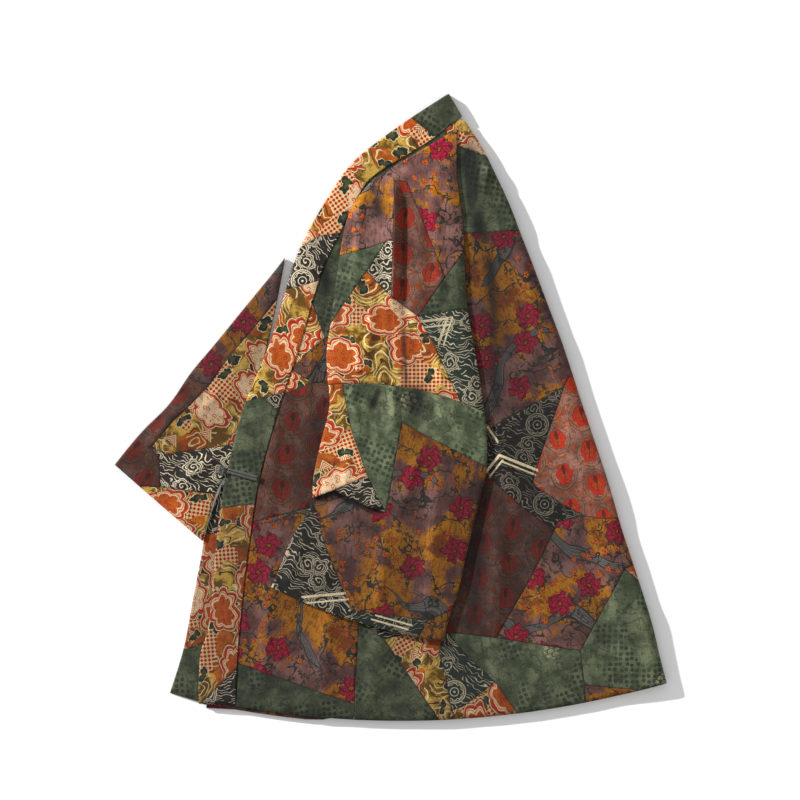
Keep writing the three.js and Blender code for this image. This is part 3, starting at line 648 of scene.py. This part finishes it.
def wave_print(vector):
    return dark_print(vector, rgb(26, 22, 19), rgb(46, 40, 33), rgb(234, 218, 186))


def teal_print(vector):
    return dark_print(vector, rgb(32, 44, 38), rgb(50, 64, 54), rgb(228, 212, 176))


def cloud_print(vector):
    base = warped(vector, 0.35, 1.6)
    x, y, _ = parts(vector)
    # Ground of gold, shaded brown and cream, with fields of orange
    shade = fac(base, 0.5, 4, 0.65)
    colour = mixed(shade.soft(0.40, 0.62), rgb(112, 82, 40), rgb(228, 190, 122))
    field = fac(base, 0.2, 1)
    orange = mixed(shade.soft(0.3, 0.7), rgb(150, 70, 30), rgb(216, 120, 54))
    colour = mixed(field.soft(0.55, 0.56), colour, orange)
    ripple = (field * 75.0).sin()
    drawn = fac(vector, 0.3, 1) > 0.47
    colour = mixed((ripple > 0.86) * drawn, colour, rgb(246, 226, 178))
    colour = mixed((ripple < -0.90) * drawn, colour, rgb(84, 52, 28))
    # Red lattice over some of it
    lattice = ((x + y) * 6.6).sin() * ((x - y) * 6.6).sin()
    zone = fac(warped(vector, 0.3, 2.0), 0.17, 1).soft(0.57, 0.58)
    colour = mixed(zone, colour, mixed(lattice > 0.05, rgb(238, 206, 160), rgb(176, 48, 36)))
    # Gables: a few small triangles of red and cream chevrons
    distance, angle, chance, _ = polar_cells(vector, 0.33, 0.95)
    aside = (distance * angle.cos()).abs()
    rise = distance * angle.sin()
    gable = (aside + rise * 0.8 < 0.20) * (rise > -0.16) * (chance > 0.74)
    stripes = ((aside + rise * 0.8) * 70.0).sin() > 0.0
    colour = mixed(gable, colour, mixed(stripes, rgb(246, 226, 184), rgb(182, 52, 36)))
    # Leaves with pale edges
    distance, angle, chance, kind = polar_cells(base, 0.40, 0.95)
    lobes = distance / ((angle + kind * 6.28).cos().abs() * 0.26 + (angle * 3.5).cos().abs() * 0.07 + 0.04)
    colour = layered(colour, lobes, chance > 0.58, (
        (1.14, rgb(242, 220, 172)), (1.0, rgb(34, 40, 32)), (0.5, rgb(70, 74, 48)),
    ))
    # Scalloped clouds, longer than they are wide, with a broad red rim between cream lines
    bx, by, _ = parts(base)
    distance, angle, chance, kind = polar_cells(combine(bx * 0.70, by * 1.05), 0.225, 0.9)
    ring = distance - (angle * 3.5 + kind * 6.28).cos().abs() * 0.085
    shown = chance > 0.26
    colour = layered(colour, ring, shown, (
        (0.405, rgb(74, 32, 24)), (0.39, rgb(248, 230, 190)), (0.37, rgb(200, 84, 44)),
        (0.335, rgb(182, 44, 32)),
        (0.30, rgb(246, 214, 176)), (0.275, rgb(214, 112, 74)), (0.258, rgb(246, 222, 188)),
    ))
    fill = mixed(kind > 0.42, rgb(244, 212, 178), rgb(196, 96, 40))
    colour = mixed((ring < 0.225) * shown, colour, fill)
    petal, turn, _, _ = polar_cells(vector, 1.15, 0.7)
    curl = ((petal * 24.0 + turn).sin() > 0.40) * (petal < 0.36)
    return mixed(curl * (ring < 0.21) * shown, colour, rgb(168, 44, 40))


def bar_print(vector):
    return mixed(fac(vector, 2.5, 2), rgb(206, 186, 146), rgb(240, 222, 184))


PRINT_COLOURS = {
    "green": green_print, "floral": floral_print, "medallion": medallion_print,
    "wave": wave_print, "teal": teal_print, "cloud": cloud_print, "bar": bar_print,
}


def cotton(name):
    """Printed cotton: a dark line at seams, painted shade beside them and in troughs, painted light on
    ridges and lumps, with slubs, weave and a little sheen.
    """
    material, tree, shader = new_material("cotton_" + name)
    vector = attribute(tree, "print_place")["Vector"]
    x, y, tone = parts(vector)
    dye = tree.nodes.new("ShaderNodeHueSaturation")
    dye.inputs["Saturation"].default_value = DYE_STRENGTH.get(name, DYE_USUAL)
    feed(dye.inputs["Color"], PRINT_COLOURS[name](vector))
    warp = fac(combine(x * YARN_FINE, y * YARN_LONG), 1.0)
    weft = fac(combine(x * YARN_LONG, y * YARN_FINE), 1.0)
    yarn = (warp + weft) * 0.5
    grain = (yarn - 0.5) * 1.5 + (fac(vector, 7.0) - 0.5) * 0.7 + 1.0
    worn = (fac(vector, 0.18) - 0.5) * 0.5 + 1.0
    beside_seam = Calc(attribute(tree, "seam_mm")["Fac"])
    seam_line = beside_seam.soft(0.2, 0.8) * 0.75 + 0.25
    # Painted shade in the groove beside each seam
    seam_groove_shade = beside_seam.soft(0.6, 3.5) * 0.12 + 0.88
    # Painted shade in troughs, under the elbow's lap and below lumps; painted light on ridges and lumps
    fold = Calc(attribute(tree, "painted_fold_shade")["Fac"]) * -1.0 + FOLD_LEVEL
    shade = (fold * FOLD_SHADE + 1.0).max(PAINTED_DARKEST).min(PAINTED_LIGHTEST)
    level = tone.op("POWER", TONE_POWER) * TONE_GAIN * grain * worn * seam_line * seam_groove_shade * shade
    feed(shader.inputs["Base Color"], vector_op("SCALE", dye.outputs[0], scale=level))
    shader.inputs["Roughness"].default_value = 0.84
    shader.inputs["Specular IOR Level"].default_value = 0.3
    shader.inputs["Sheen Weight"].default_value = 0.08
    shader.inputs["Sheen Roughness"].default_value = 0.5
    relief = yarn + beside_seam.soft(0.0, 2.0) * 1.2 + fac(vector, 1.2, 3) * 0.8
    add_bump(shader, relief, strength=0.5, distance=0.0006)
    return material


def stitch_thread():
    material, tree, shader = new_material("thread")
    spot = tree.nodes.new("ShaderNodeTexCoord").outputs["Object"]
    feed(shader.inputs["Base Color"], mixed(fac(spot, 90.0, 1), rgb(52, 50, 38), rgb(92, 84, 62)))
    shader.inputs["Roughness"].default_value = 0.7
    shader.inputs["Sheen Weight"].default_value = 0.1
    return material


def black_cord():
    """Black cloth cord: fine slanting ribs, their crests painted grey as painted highlight, with a dull
    shine.
    """
    material, tree, shader = new_material("cord_black")
    along, around, _ = parts(attribute(tree, "cord_place")["Vector"])
    ribs = (along * 7.0 + around * 2.0).sin() * 0.5 + 0.5
    worn = fac(combine(along * 0.35, around * 0.5), 1.0)
    # Grey on the rib crests of the black cord: painted highlight
    colour = mixed(ribs * 0.6 + worn * 0.5 - 0.1, rgb(26, 26, 24), rgb(92, 90, 84))
    feed(shader.inputs["Base Color"], colour)
    shader.inputs["Roughness"].default_value = 0.5
    shader.inputs["Sheen Weight"].default_value = 0.3
    shader.inputs["Sheen Roughness"].default_value = 0.4
    add_bump(shader, ribs, strength=0.6, distance=0.0003)
    return material


COTTONS = [cotton(name) for name in PRINTS]
THREAD = stitch_thread()
CORD_BLACK = black_cord()


# Cloth

def add_object(name, data):
    piece = bpy.data.objects.new(name, data)
    bpy.context.scene.collection.objects.link(piece)
    return piece


def smooth(value, low, high):
    """0 below low, 1 above high, smooth between, for arrays."""
    t = np.clip((value - low) / (high - low), 0, 1)
    return t * t * (3 - 2 * t)


def crease_lift(creases, x, y):
    """The height that creases add at places in millimetres."""
    lift = np.zeros(len(x))
    for px0, py0, px1, py1, height, width in creases:
        (ax, ay), (bx, by) = place(px0, py0), place(px1, py1)
        length = math.hypot(bx - ax, by - ay)
        along = ((x - ax) * (bx - ax) + (y - ay) * (by - ay)) / length
        across = ((x - ax) * (by - ay) - (y - ay) * (bx - ax)) / length
        taper = min(CREASE_TAPER * width, length / 2)
        ends = smooth(along, -width, taper) * (1 - smooth(along, length - taper, length + width))
        lift += height * ends * np.exp(-((across / width) ** 2))
    return lift


def soft_height(x, y, lumps):
    across, along, spot, height = lumps
    return height * soft_noise.noise(Vector((x / across, y / along, spot)))


def unevenness(x, y):
    """Soft lumps and small wrinkles of the cloth, never below zero, in millimetres."""
    lift = [LUMP_LEVEL + soft_height(*at, LUMPS) + soft_height(*at, WRINKLES) for at in zip(x, y)]
    return np.maximum(lift, 0)


def elbow_place(x, y):
    """Distance above the elbow line, place along it from 0 to 1, and the way down the page."""
    line = [place(*corner) for corner in ELBOW_LINE]
    best = np.full(len(x), np.inf)
    above = np.zeros(len(x))
    along = np.zeros(len(x))
    down = np.zeros((len(x), 2))
    total = sum(math.dist(a, b) for a, b in zip(line, line[1:]))
    run = 0.0
    for (ax, ay), (bx, by) in zip(line, line[1:]):
        length = math.hypot(bx - ax, by - ay)
        t = np.clip(((x - ax) * (bx - ax) + (y - ay) * (by - ay)) / length ** 2, 0, 1)
        gap = np.hypot(x - ax - t * (bx - ax), y - ay - t * (by - ay))
        side = ((y - ay) * (bx - ax) - (x - ax) * (by - ay)) / length
        nearer = gap < best
        best = np.where(nearer, gap, best)
        above = np.where(nearer, np.sign(side) * gap, above)
        along = np.where(nearer, (run + t * length) / total, along)
        down[nearer] = ((by - ay) / length, -(bx - ax) / length)
        run += length
    return above, along, down


def fold_elbow(places, share):
    """Lifts the cloth above the elbow line over the cloth below it, and returns the shade it casts."""
    above, along, down = elbow_place(places[:, 0], places[:, 1])
    strength = share * (1 - smooth(along, *ELBOW_FADE))
    upper = smooth(above, -ELBOW_EDGE, ELBOW_EDGE)
    rise = ELBOW_RISE * np.exp(-np.maximum(above, 0) / RISE_REACH)
    drop = -ELBOW_DROP * np.exp(np.minimum(above, 0) / DROP_REACH)
    places[:, 2] += strength * (upper * rise + (1 - upper) * drop)
    lap = strength * upper * ELBOW_LAP * np.exp(-np.maximum(above, 0) / LAP_REACH)
    places[:, :2] += down * lap[:, None]
    return -ELBOW_SHADE * strength * np.exp(-(((above + SHADE_BELOW) / SHADE_WIDTH) ** 2))


def upper_share(mesh, places):
    """1 for points of a tube's upper cloth, 0 for its lower cloth, and between at its edges."""
    tree = BVHTree.FromPolygons(places.tolist(), [face.vertices for face in mesh.polygons])
    share = np.full(len(places), 0.5)
    for i, (x, y, z) in enumerate(places):
        bottom = tree.ray_cast(Vector((x, y, RAY_BOTTOM)), Vector((0, 0, 1)))[0]
        top = tree.ray_cast(Vector((x, y, RAY_TOP)), Vector((0, 0, -1)))[0]
        if top is not None and top.z - bottom.z > THIN_TUBE:
            share[i] = (z - bottom.z - SLEEVE_WALL) / (top.z - bottom.z - 2 * SLEEVE_WALL)
    return np.clip(share, 0, 1)


def lifted(folds):
    """The height that the cloth takes from its listed folds: ridges stand up and troughs stay shallow."""
    return np.where(folds > 0, RIDGE_GAIN * folds, TROUGH_GAIN * folds)


def store_painted_fold_shade(mesh, depth):
    layer = mesh.attributes.new("painted_fold_shade", "FLOAT", "POINT")
    layer.data.foreach_set("value", depth.astype(np.float32))


def crease_cloth(name, mesh, creases):
    """Moves a panel's points by its lumps and folds, and stores the painted shade and painted light that
    they give each point.
    """
    places = np.empty(len(mesh.vertices) * 3)
    mesh.vertices.foreach_get("co", places)
    places = places.reshape(-1, 3) / MM
    x, y = places[:, 0].copy(), places[:, 1].copy()
    far = name.startswith("right")
    share = upper_share(mesh, places) if "sleeve" in name else np.ones(len(places))
    off_floor = smooth(places[:, 2], *OFF_FLOOR)
    lumps = unevenness(x, y)
    body = np.zeros(len(x)) if far else crease_lift(BODY_CREASES, x, y)
    own = crease_lift(creases, x, y)
    if far:
        places[:, 2] += share * off_floor * np.maximum(lumps + lifted(own), 0)
    else:
        places[:, 2] += off_floor * np.maximum(lumps + lifted(body), 0)
        places[:, 2] += share * off_floor * np.maximum(lifted(own), TROUGH_FLOOR)
    # Painted shade and light from the folds and lumps, following their heights
    shade = body + own + (lumps - LUMP_LEVEL) * LUMP_SHADE
    if name == "left_sleeve_cloth":
        shade += fold_elbow(places, share)
    if name == "right_band_cloth":
        window = smooth(y, *FAR_BAND_FROM) * (1 - smooth(y, *FAR_BAND_TO))
        places[:, 0] -= FAR_BAND_SHIFT * window
    store_painted_fold_shade(mesh, np.maximum(FOLD_LEVEL - shade, 0))
    mesh.vertices.foreach_set("co", (places * MM).ravel())
    mesh.update()


def inside(x, y, corners):
    found = False
    for i, (ax, ay) in enumerate(corners):
        bx, by = corners[i - 1]
        if (ay > y) != (by > y) and x < (bx - ax) * (y - ay) / (by - ay) + ax:
            found = not found
    return found


def segment_distance(x, y, ax, ay, bx, by):
    run = (bx - ax) ** 2 + (by - ay) ** 2
    t = max(0.0, min(1.0, ((x - ax) * (bx - ax) + (y - ay) * (by - ay)) / run))
    return math.hypot(x - ax - t * (bx - ax), y - ay - t * (by - ay))


def polygon_distance(x, y, corners):
    return min(segment_distance(x, y, *corners[i - 1], *corners[i]) for i in range(len(corners)))


def refined_mesh(node, level):
    """A smooth, finer copy of a CAD node's mesh that keeps its sharp rims."""
    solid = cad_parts[node].data
    mesh = bpy.data.meshes.new(node + "_cloth")
    mesh.from_pydata([vert.co for vert in solid.vertices], [], [face.vertices for face in solid.polygons])
    bm = bmesh.new()
    bm.from_mesh(mesh)
    bmesh.ops.remove_doubles(bm, verts=bm.verts, dist=WELD)
    bmesh.ops.join_triangles(
        bm, faces=bm.faces, angle_face_threshold=JOIN_ANGLE, angle_shape_threshold=JOIN_SHAPE
    )
    crease = bm.edges.layers.float.new("crease_edge")
    for edge in bm.edges:
        if len(edge.link_faces) == 2 and edge.calc_face_angle(0.0) > math.radians(RIM_ANGLE):
            edge[crease] = RIM_CREASE
    bm.to_mesh(mesh)
    bm.free()
    piece = add_object(node + "_work", mesh)
    if level:
        finer = piece.modifiers.new("finer", "SUBSURF")
        finer.levels = finer.render_levels = level
        finer.use_limit_surface = False
    view = bpy.context.evaluated_depsgraph_get()
    result = bpy.data.meshes.new_from_object(piece.evaluated_get(view))
    bpy.data.objects.remove(piece)
    return result


def cut_along(bm, ax, ay, bx, by, reach):
    """Cuts the faces near the upright plane through the segment, and no others."""
    low_x, high_x = min(ax, bx) - reach, max(ax, bx) + reach
    low_y, high_y = min(ay, by) - reach, max(ay, by) + reach
    normal = Vector((by - ay, ax - bx, 0)).normalized()
    near = []
    for face in bm.faces:
        corner = face.verts[0].co
        if not (low_x < corner.x < high_x and low_y < corner.y < high_y):
            continue
        if abs((corner.x - ax) * normal.x + (corner.y - ay) * normal.y) < 2 * reach:
            near.append(face)
    if not near:
        return
    edges = {edge for face in near for edge in face.edges}
    verts = {vert for face in near for vert in face.verts}
    bmesh.ops.bisect_plane(
        bm, geom=[*near, *edges, *verts], dist=1e-6, plane_co=(ax, ay, 0), plane_no=normal
    )


def cut_panel(bm, patches, bars):
    """Cuts a panel along the edges of its patches and bars. Returns the reach of a cut."""
    reach = CUT_REACH * MM + max(edge.calc_length() for edge in bm.edges)
    done = set()
    for *_, corners in patches:
        for i, corner in enumerate(corners):
            key = frozenset((corners[i - 1], corner))
            if key not in done:
                done.add(key)
                cut_along(bm, *(v * MM for v in (*corners[i - 1], *corner)), reach)
    for ax, ay, bx, by, width in bars:
        side = Vector((by - ay, ax - bx)).normalized() * width / 2
        for sign in (-1, 1):
            dx, dy = side * sign
            cut_along(bm, *(v * MM for v in (ax + dx, ay + dy, bx + dx, by + dy)), reach)
    return reach


def cut_elbow(bm, reach):
    """Cuts the sleeve in lines beside the elbow fold, so that it can bend there."""
    line = [Vector(place(*corner)) * MM for corner in ELBOW_LINE]
    for a, b in zip(line, line[1:]):
        up = Vector((a.y - b.y, b.x - a.x)).normalized() * MM
        for offset in ELBOW_CUTS:
            cut_along(bm, *(a + up * offset), *(b + up * offset), reach)


def classify(bm, patches, bars):
    """The number of the patch that each face belongs to. Bars share the number after the last."""
    found = []
    for face in bm.faces:
        centre = face.calc_center_median()
        x, y = centre.x / MM, centre.y / MM
        index = next((len(patches) for bar in bars if segment_distance(x, y, *bar[:4]) < bar[4] / 2), None)
        if index is None:
            index = next((i for i, patch in enumerate(patches) if inside(x, y, patch[-1])), None)
        if index is None:
            index = min(range(len(patches)), key=lambda i: polygon_distance(x, y, patches[i][-1]))
        found.append(index)
    return found


def mark_seams(bm, found, bar):
    """Stores each point's distance from the nearest seam between patches, in millimetres."""
    points = []
    for edge in bm.edges:
        owners = {found[face.index] for face in edge.link_faces}
        if len(owners) > 1 and bar not in owners:
            a, b = (vert.co for vert in edge.verts)
            steps = max(1, int((b - a).length / (SEAM_STEP * MM)))
            points += [a.lerp(b, k / steps) for k in range(steps + 1)]
    tree = kdtree.KDTree(len(points))
    for i, point in enumerate(points):
        tree.insert((point.x, point.y, 0), i)
    tree.balance()
    layer = bm.verts.layers.float.new("seam_mm")
    for vert in bm.verts:
        vert[layer] = min(tree.find((vert.co.x, vert.co.y, 0))[2] / MM, SEAM_FAR)


def lay_prints(bm, found, patches):
    """Gives each face its print, and its corners their place in the print and the patch's tone."""
    looks = []
    for i, (kind, turn, tone, _) in enumerate(patches):
        angle = math.radians(turn)
        shift = [step * i + start for step, start in zip(PRINT_STEP, PRINT_START)]
        looks.append((kind, math.cos(angle), math.sin(angle), *shift, tone))
    looks.append(("bar", 1.0, 0.0, 0.0, 0.0, BAR_TONE))
    layer = bm.loops.layers.float_vector.new("print_place")
    for face, index in zip(bm.faces, found):
        kind, c, s, shift_x, shift_y, tone = looks[index]
        face.material_index = PRINTS.index(kind)
        face.smooth = True
        for loop in face.loops:
            x, y = loop.vert.co.x * CM_IN_METRE, loop.vert.co.y * CM_IN_METRE
            loop[layer] = (c * x - s * y + shift_x, s * x + c * y + shift_y, tone)


def make_panel(name, node, patches, bars, creases, level):
    """A panel of patchwork cloth: the solid's mesh made finer, cut, printed and creased."""
    mesh = refined_mesh(node, level)
    patches = [(*look, [place(*corner) for corner in corners]) for *look, corners in patches]
    bars = [(*place(ax, ay), *place(bx, by), width * PHOTO_MM) for ax, ay, bx, by, width in bars]
    mesh.materials.clear()
    for material in COTTONS:
        mesh.materials.append(material)
    bm = bmesh.new()
    bm.from_mesh(mesh)
    reach = cut_panel(bm, patches, bars)
    if name == "left_sleeve_cloth":
        cut_elbow(bm, reach)
    bm.faces.ensure_lookup_table()
    found = classify(bm, patches, bars)
    bm.faces.index_update()
    mark_seams(bm, found, len(patches))
    lay_prints(bm, found, patches)
    bm.to_mesh(mesh)
    bm.free()
    if node == "hidden_body":
        store_painted_fold_shade(mesh, np.full(len(mesh.vertices), FOLD_LEVEL))
    else:
        crease_cloth(name, mesh, creases)
    return add_object(name, mesh)


# Stitches: lines of short raised threads, found on each panel from its edge

def ray_tree(mesh):
    return BVHTree.FromPolygons([v.co for v in mesh.vertices], [f.vertices for f in mesh.polygons])


def cast(tree, x, y):
    """The place and slope of the cloth under a point given in millimetres, or None beside it."""
    spot, normal, _, _ = tree.ray_cast(Vector((x, y, RAY_TOP)) * MM, Vector((0, 0, -1)))
    return (spot, normal) if spot is not None else None


def edge_line(tree, side, span, inset):
    """Points a little inside a panel's edge. side is the way to the edge and span the stretch across it."""
    def probe(reach, t):
        return cast(tree, reach * side[0], t) if side[0] else cast(tree, t, reach * side[1])

    points = []
    low, high = span
    for i in range(int((high - low) / STITCH_PITCH)):
        t = low + i * STITCH_PITCH
        reaches = (EDGE_REACH / 2 - k * EDGE_STEP for k in range(int(EDGE_REACH / EDGE_STEP)))
        edge = next((reach for reach in reaches if probe(reach, t)), None)
        hit = None if edge is None else probe(edge - inset, t)
        if hit:
            points.append(hit)
    return points


def make_stitches(name, lines):
    """Short threads, each a slim double pyramid, between neighbouring points of the lines."""
    verts, faces = [], []
    for points in lines:
        for (a, normal), (b, _) in zip(points, points[1:]):
            if (b - a).length > STITCH_BREAK * STITCH_PITCH * MM:
                continue
            along = (b - a).normalized()
            side = along.cross(normal).normalized()
            middle = a.lerp(b, 0.5) + normal * STITCH_RADIUS * STITCH_STAND * MM
            half, radius = along * STITCH_LENGTH / 2 * MM, STITCH_RADIUS * MM
            n = len(verts)
            verts += [middle - half, middle + half]
            for way in (side, normal, -side, -normal):
                verts.append(middle + way * radius)
            for k in range(4):
                j, i = n + 2 + k, n + 2 + (k + 1) % 4
                faces += [(n, i, j), (n + 1, j, i)]
    mesh = bpy.data.meshes.new(name)
    mesh.from_pydata(verts, [], faces)
    mesh.materials.append(THREAD)
    return add_object(name, mesh)


for name, node, slot, patches, bars, creases, level in PANELS:
    panel = make_panel(name, node, patches, bars, creases, level)
    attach(panel, "root")
    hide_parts(node)
    stitches = []
    if name in STITCH_LINES:
        tree = ray_tree(panel.data)
        lines = [edge_line(tree, *line) for line in STITCH_LINES[name]]
        stitches = [make_stitches(name.replace("cloth", "stitches"), lines)]
        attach(stitches[0], "root")


# Frog fastener: two cords side by side as its strap, and a cord wound into a button

def new_cord_mesh():
    bm = bmesh.new()
    bm.verts.layers.float_vector.new("cord_place")
    return bm


def add_cord(bm, path, radius, closed):
    """Adds a round cord along a path given in millimetres."""
    layer = bm.verts.layers.float_vector["cord_place"]
    rings = []
    run = 0.0
    count = len(path)
    for i, point in enumerate(path):
        before = path[i - 1] if closed or i else path[0]
        after = path[(i + 1) % count] if closed or i < count - 1 else path[-1]
        along = (after - before).normalized()
        side = along.cross(Vector((0, 0, 1)))
        side = side.normalized() if side.length > 0.05 else Vector((1, 0, 0))
        up = side.cross(along)
        ring = []
        for k in range(CORD_SIDES):
            turn = 2 * math.pi * k / CORD_SIDES
            vert = bm.verts.new((point + (side * math.cos(turn) + up * math.sin(turn)) * radius) * MM)
            vert[layer] = (run, turn, 0)
            ring.append(vert)
        rings.append(ring)
        run += (path[(i + 1) % count] - point).length
    for a, b in zip(rings, rings[1:] + rings[:1] if closed else rings[1:]):
        for k in range(CORD_SIDES):
            j = (k + 1) % CORD_SIDES
            bm.faces.new((a[k], b[k], b[j], a[j])).smooth = True
    if not closed:
        bm.faces.new(rings[0])
        bm.faces.new(list(reversed(rings[-1])))


def finish_cord(bm, name, node):
    mesh = bpy.data.meshes.new(name)
    bmesh.ops.recalc_face_normals(bm, faces=bm.faces)
    bm.to_mesh(mesh)
    bm.free()
    mesh.materials.append(CORD_BLACK)
    piece = add_object(name, mesh)
    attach(piece, "root")
    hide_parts(node)


def make_strap():
    tree = ray_tree(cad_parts["frog_strap"].data)
    line = [Vector(place(*point)) for point in CORD_PATH]
    bm = new_cord_mesh()
    for sign in (-1, 1):
        path = []
        for a, b in zip(line, line[1:]):
            side = Vector((b.y - a.y, a.x - b.x)).normalized() * sign * (CORD_RADIUS - CORD_SQUEEZE)
            for k in range(CORD_STEPS):
                middle = a.lerp(b, k / CORD_STEPS)
                hit = cast(tree, *middle)
                if hit:
                    height = hit[0].z / MM - CORD_RADIUS
                    path.append(Vector((middle.x + side.x, middle.y + side.y, height)))
        add_cord(bm, path, CORD_RADIUS, False)
    finish_cord(bm, "frog_strap_cords", "frog_strap")


def make_knot():
    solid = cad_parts["frog_knot"].data
    corners = np.array([tuple(v.co) for v in solid.vertices]) / MM
    low, high = corners.min(axis=0), corners.max(axis=0)
    centre, radii = Vector((low + high) / 2), (high - low) / 2 - KNOT_CORD
    bm = new_cord_mesh()
    path = []
    for i in range(KNOT_STEPS):
        t = 2 * math.pi * i / KNOT_STEPS
        turn, rise = KNOT_TURNS * t, KNOT_RISE * math.sin(KNOT_BIGHTS * t)
        reach = KNOT_REACH + KNOT_SWELL * math.sin(2 * KNOT_BIGHTS * t)
        path.append(centre + reach * Vector((
            radii[0] * math.cos(turn) * math.cos(rise),
            radii[1] * math.sin(turn) * math.cos(rise),
            radii[2] * math.sin(rise),
        )))
    add_cord(bm, path, KNOT_CORD, True)
    core = bmesh.ops.create_icosphere(bm, subdivisions=3, radius=1.0)
    for vert in core["verts"]:
        spot = vert.co
        vert.co = (centre + Vector((spot.x * radii[0], spot.y * radii[1], spot.z * radii[2]))) * MM
    finish_cord(bm, "frog_knot_cord", "frog_knot")


make_strap()
make_knot()


# Stage, light and camera

def make_stage():
    bpy.ops.mesh.primitive_plane_add(size=FLOOR_SIZE)
    floor = bpy.context.object
    floor.name = "floor"
    material, _, shader = new_material("floor_white")
    shader.inputs["Base Color"].default_value = (0.9, 0.9, 0.9, 1)
    shader.inputs["Roughness"].default_value = 0.9
    floor.data.materials.append(material)


def make_lights():
    world = bpy.data.worlds.new("studio")
    bpy.context.scene.world = world
    world.use_nodes = True
    background = world.node_tree.nodes["Background"]
    background.inputs["Color"].default_value = (1, 1, 1, 1)
    background.inputs["Strength"].default_value = WORLD_STRENGTH
    data = bpy.data.lights.new("key", "SUN")
    data.energy = SUN_STRENGTH
    data.angle = math.radians(SUN_ANGLE)
    add_object("key", data).rotation_euler = Vector(TO_SUN).to_track_quat("Z", "Y").to_euler()


def make_camera():
    data = bpy.data.cameras.new("camera")
    data.sensor_width = SENSOR_MM
    data.lens = SENSOR_MM * CAMERA_HEIGHT / (IMAGE_PX * PHOTO_MM * MM)
    camera = add_object("camera", data)
    x, y = place(IMAGE_PX / 2, IMAGE_PX / 2)
    camera.location = (x * MM, y * MM, CAMERA_HEIGHT)
    bpy.context.scene.camera = camera


make_stage()
make_lights()
make_camera()
bpy.context.scene.view_settings.view_transform = "Standard"
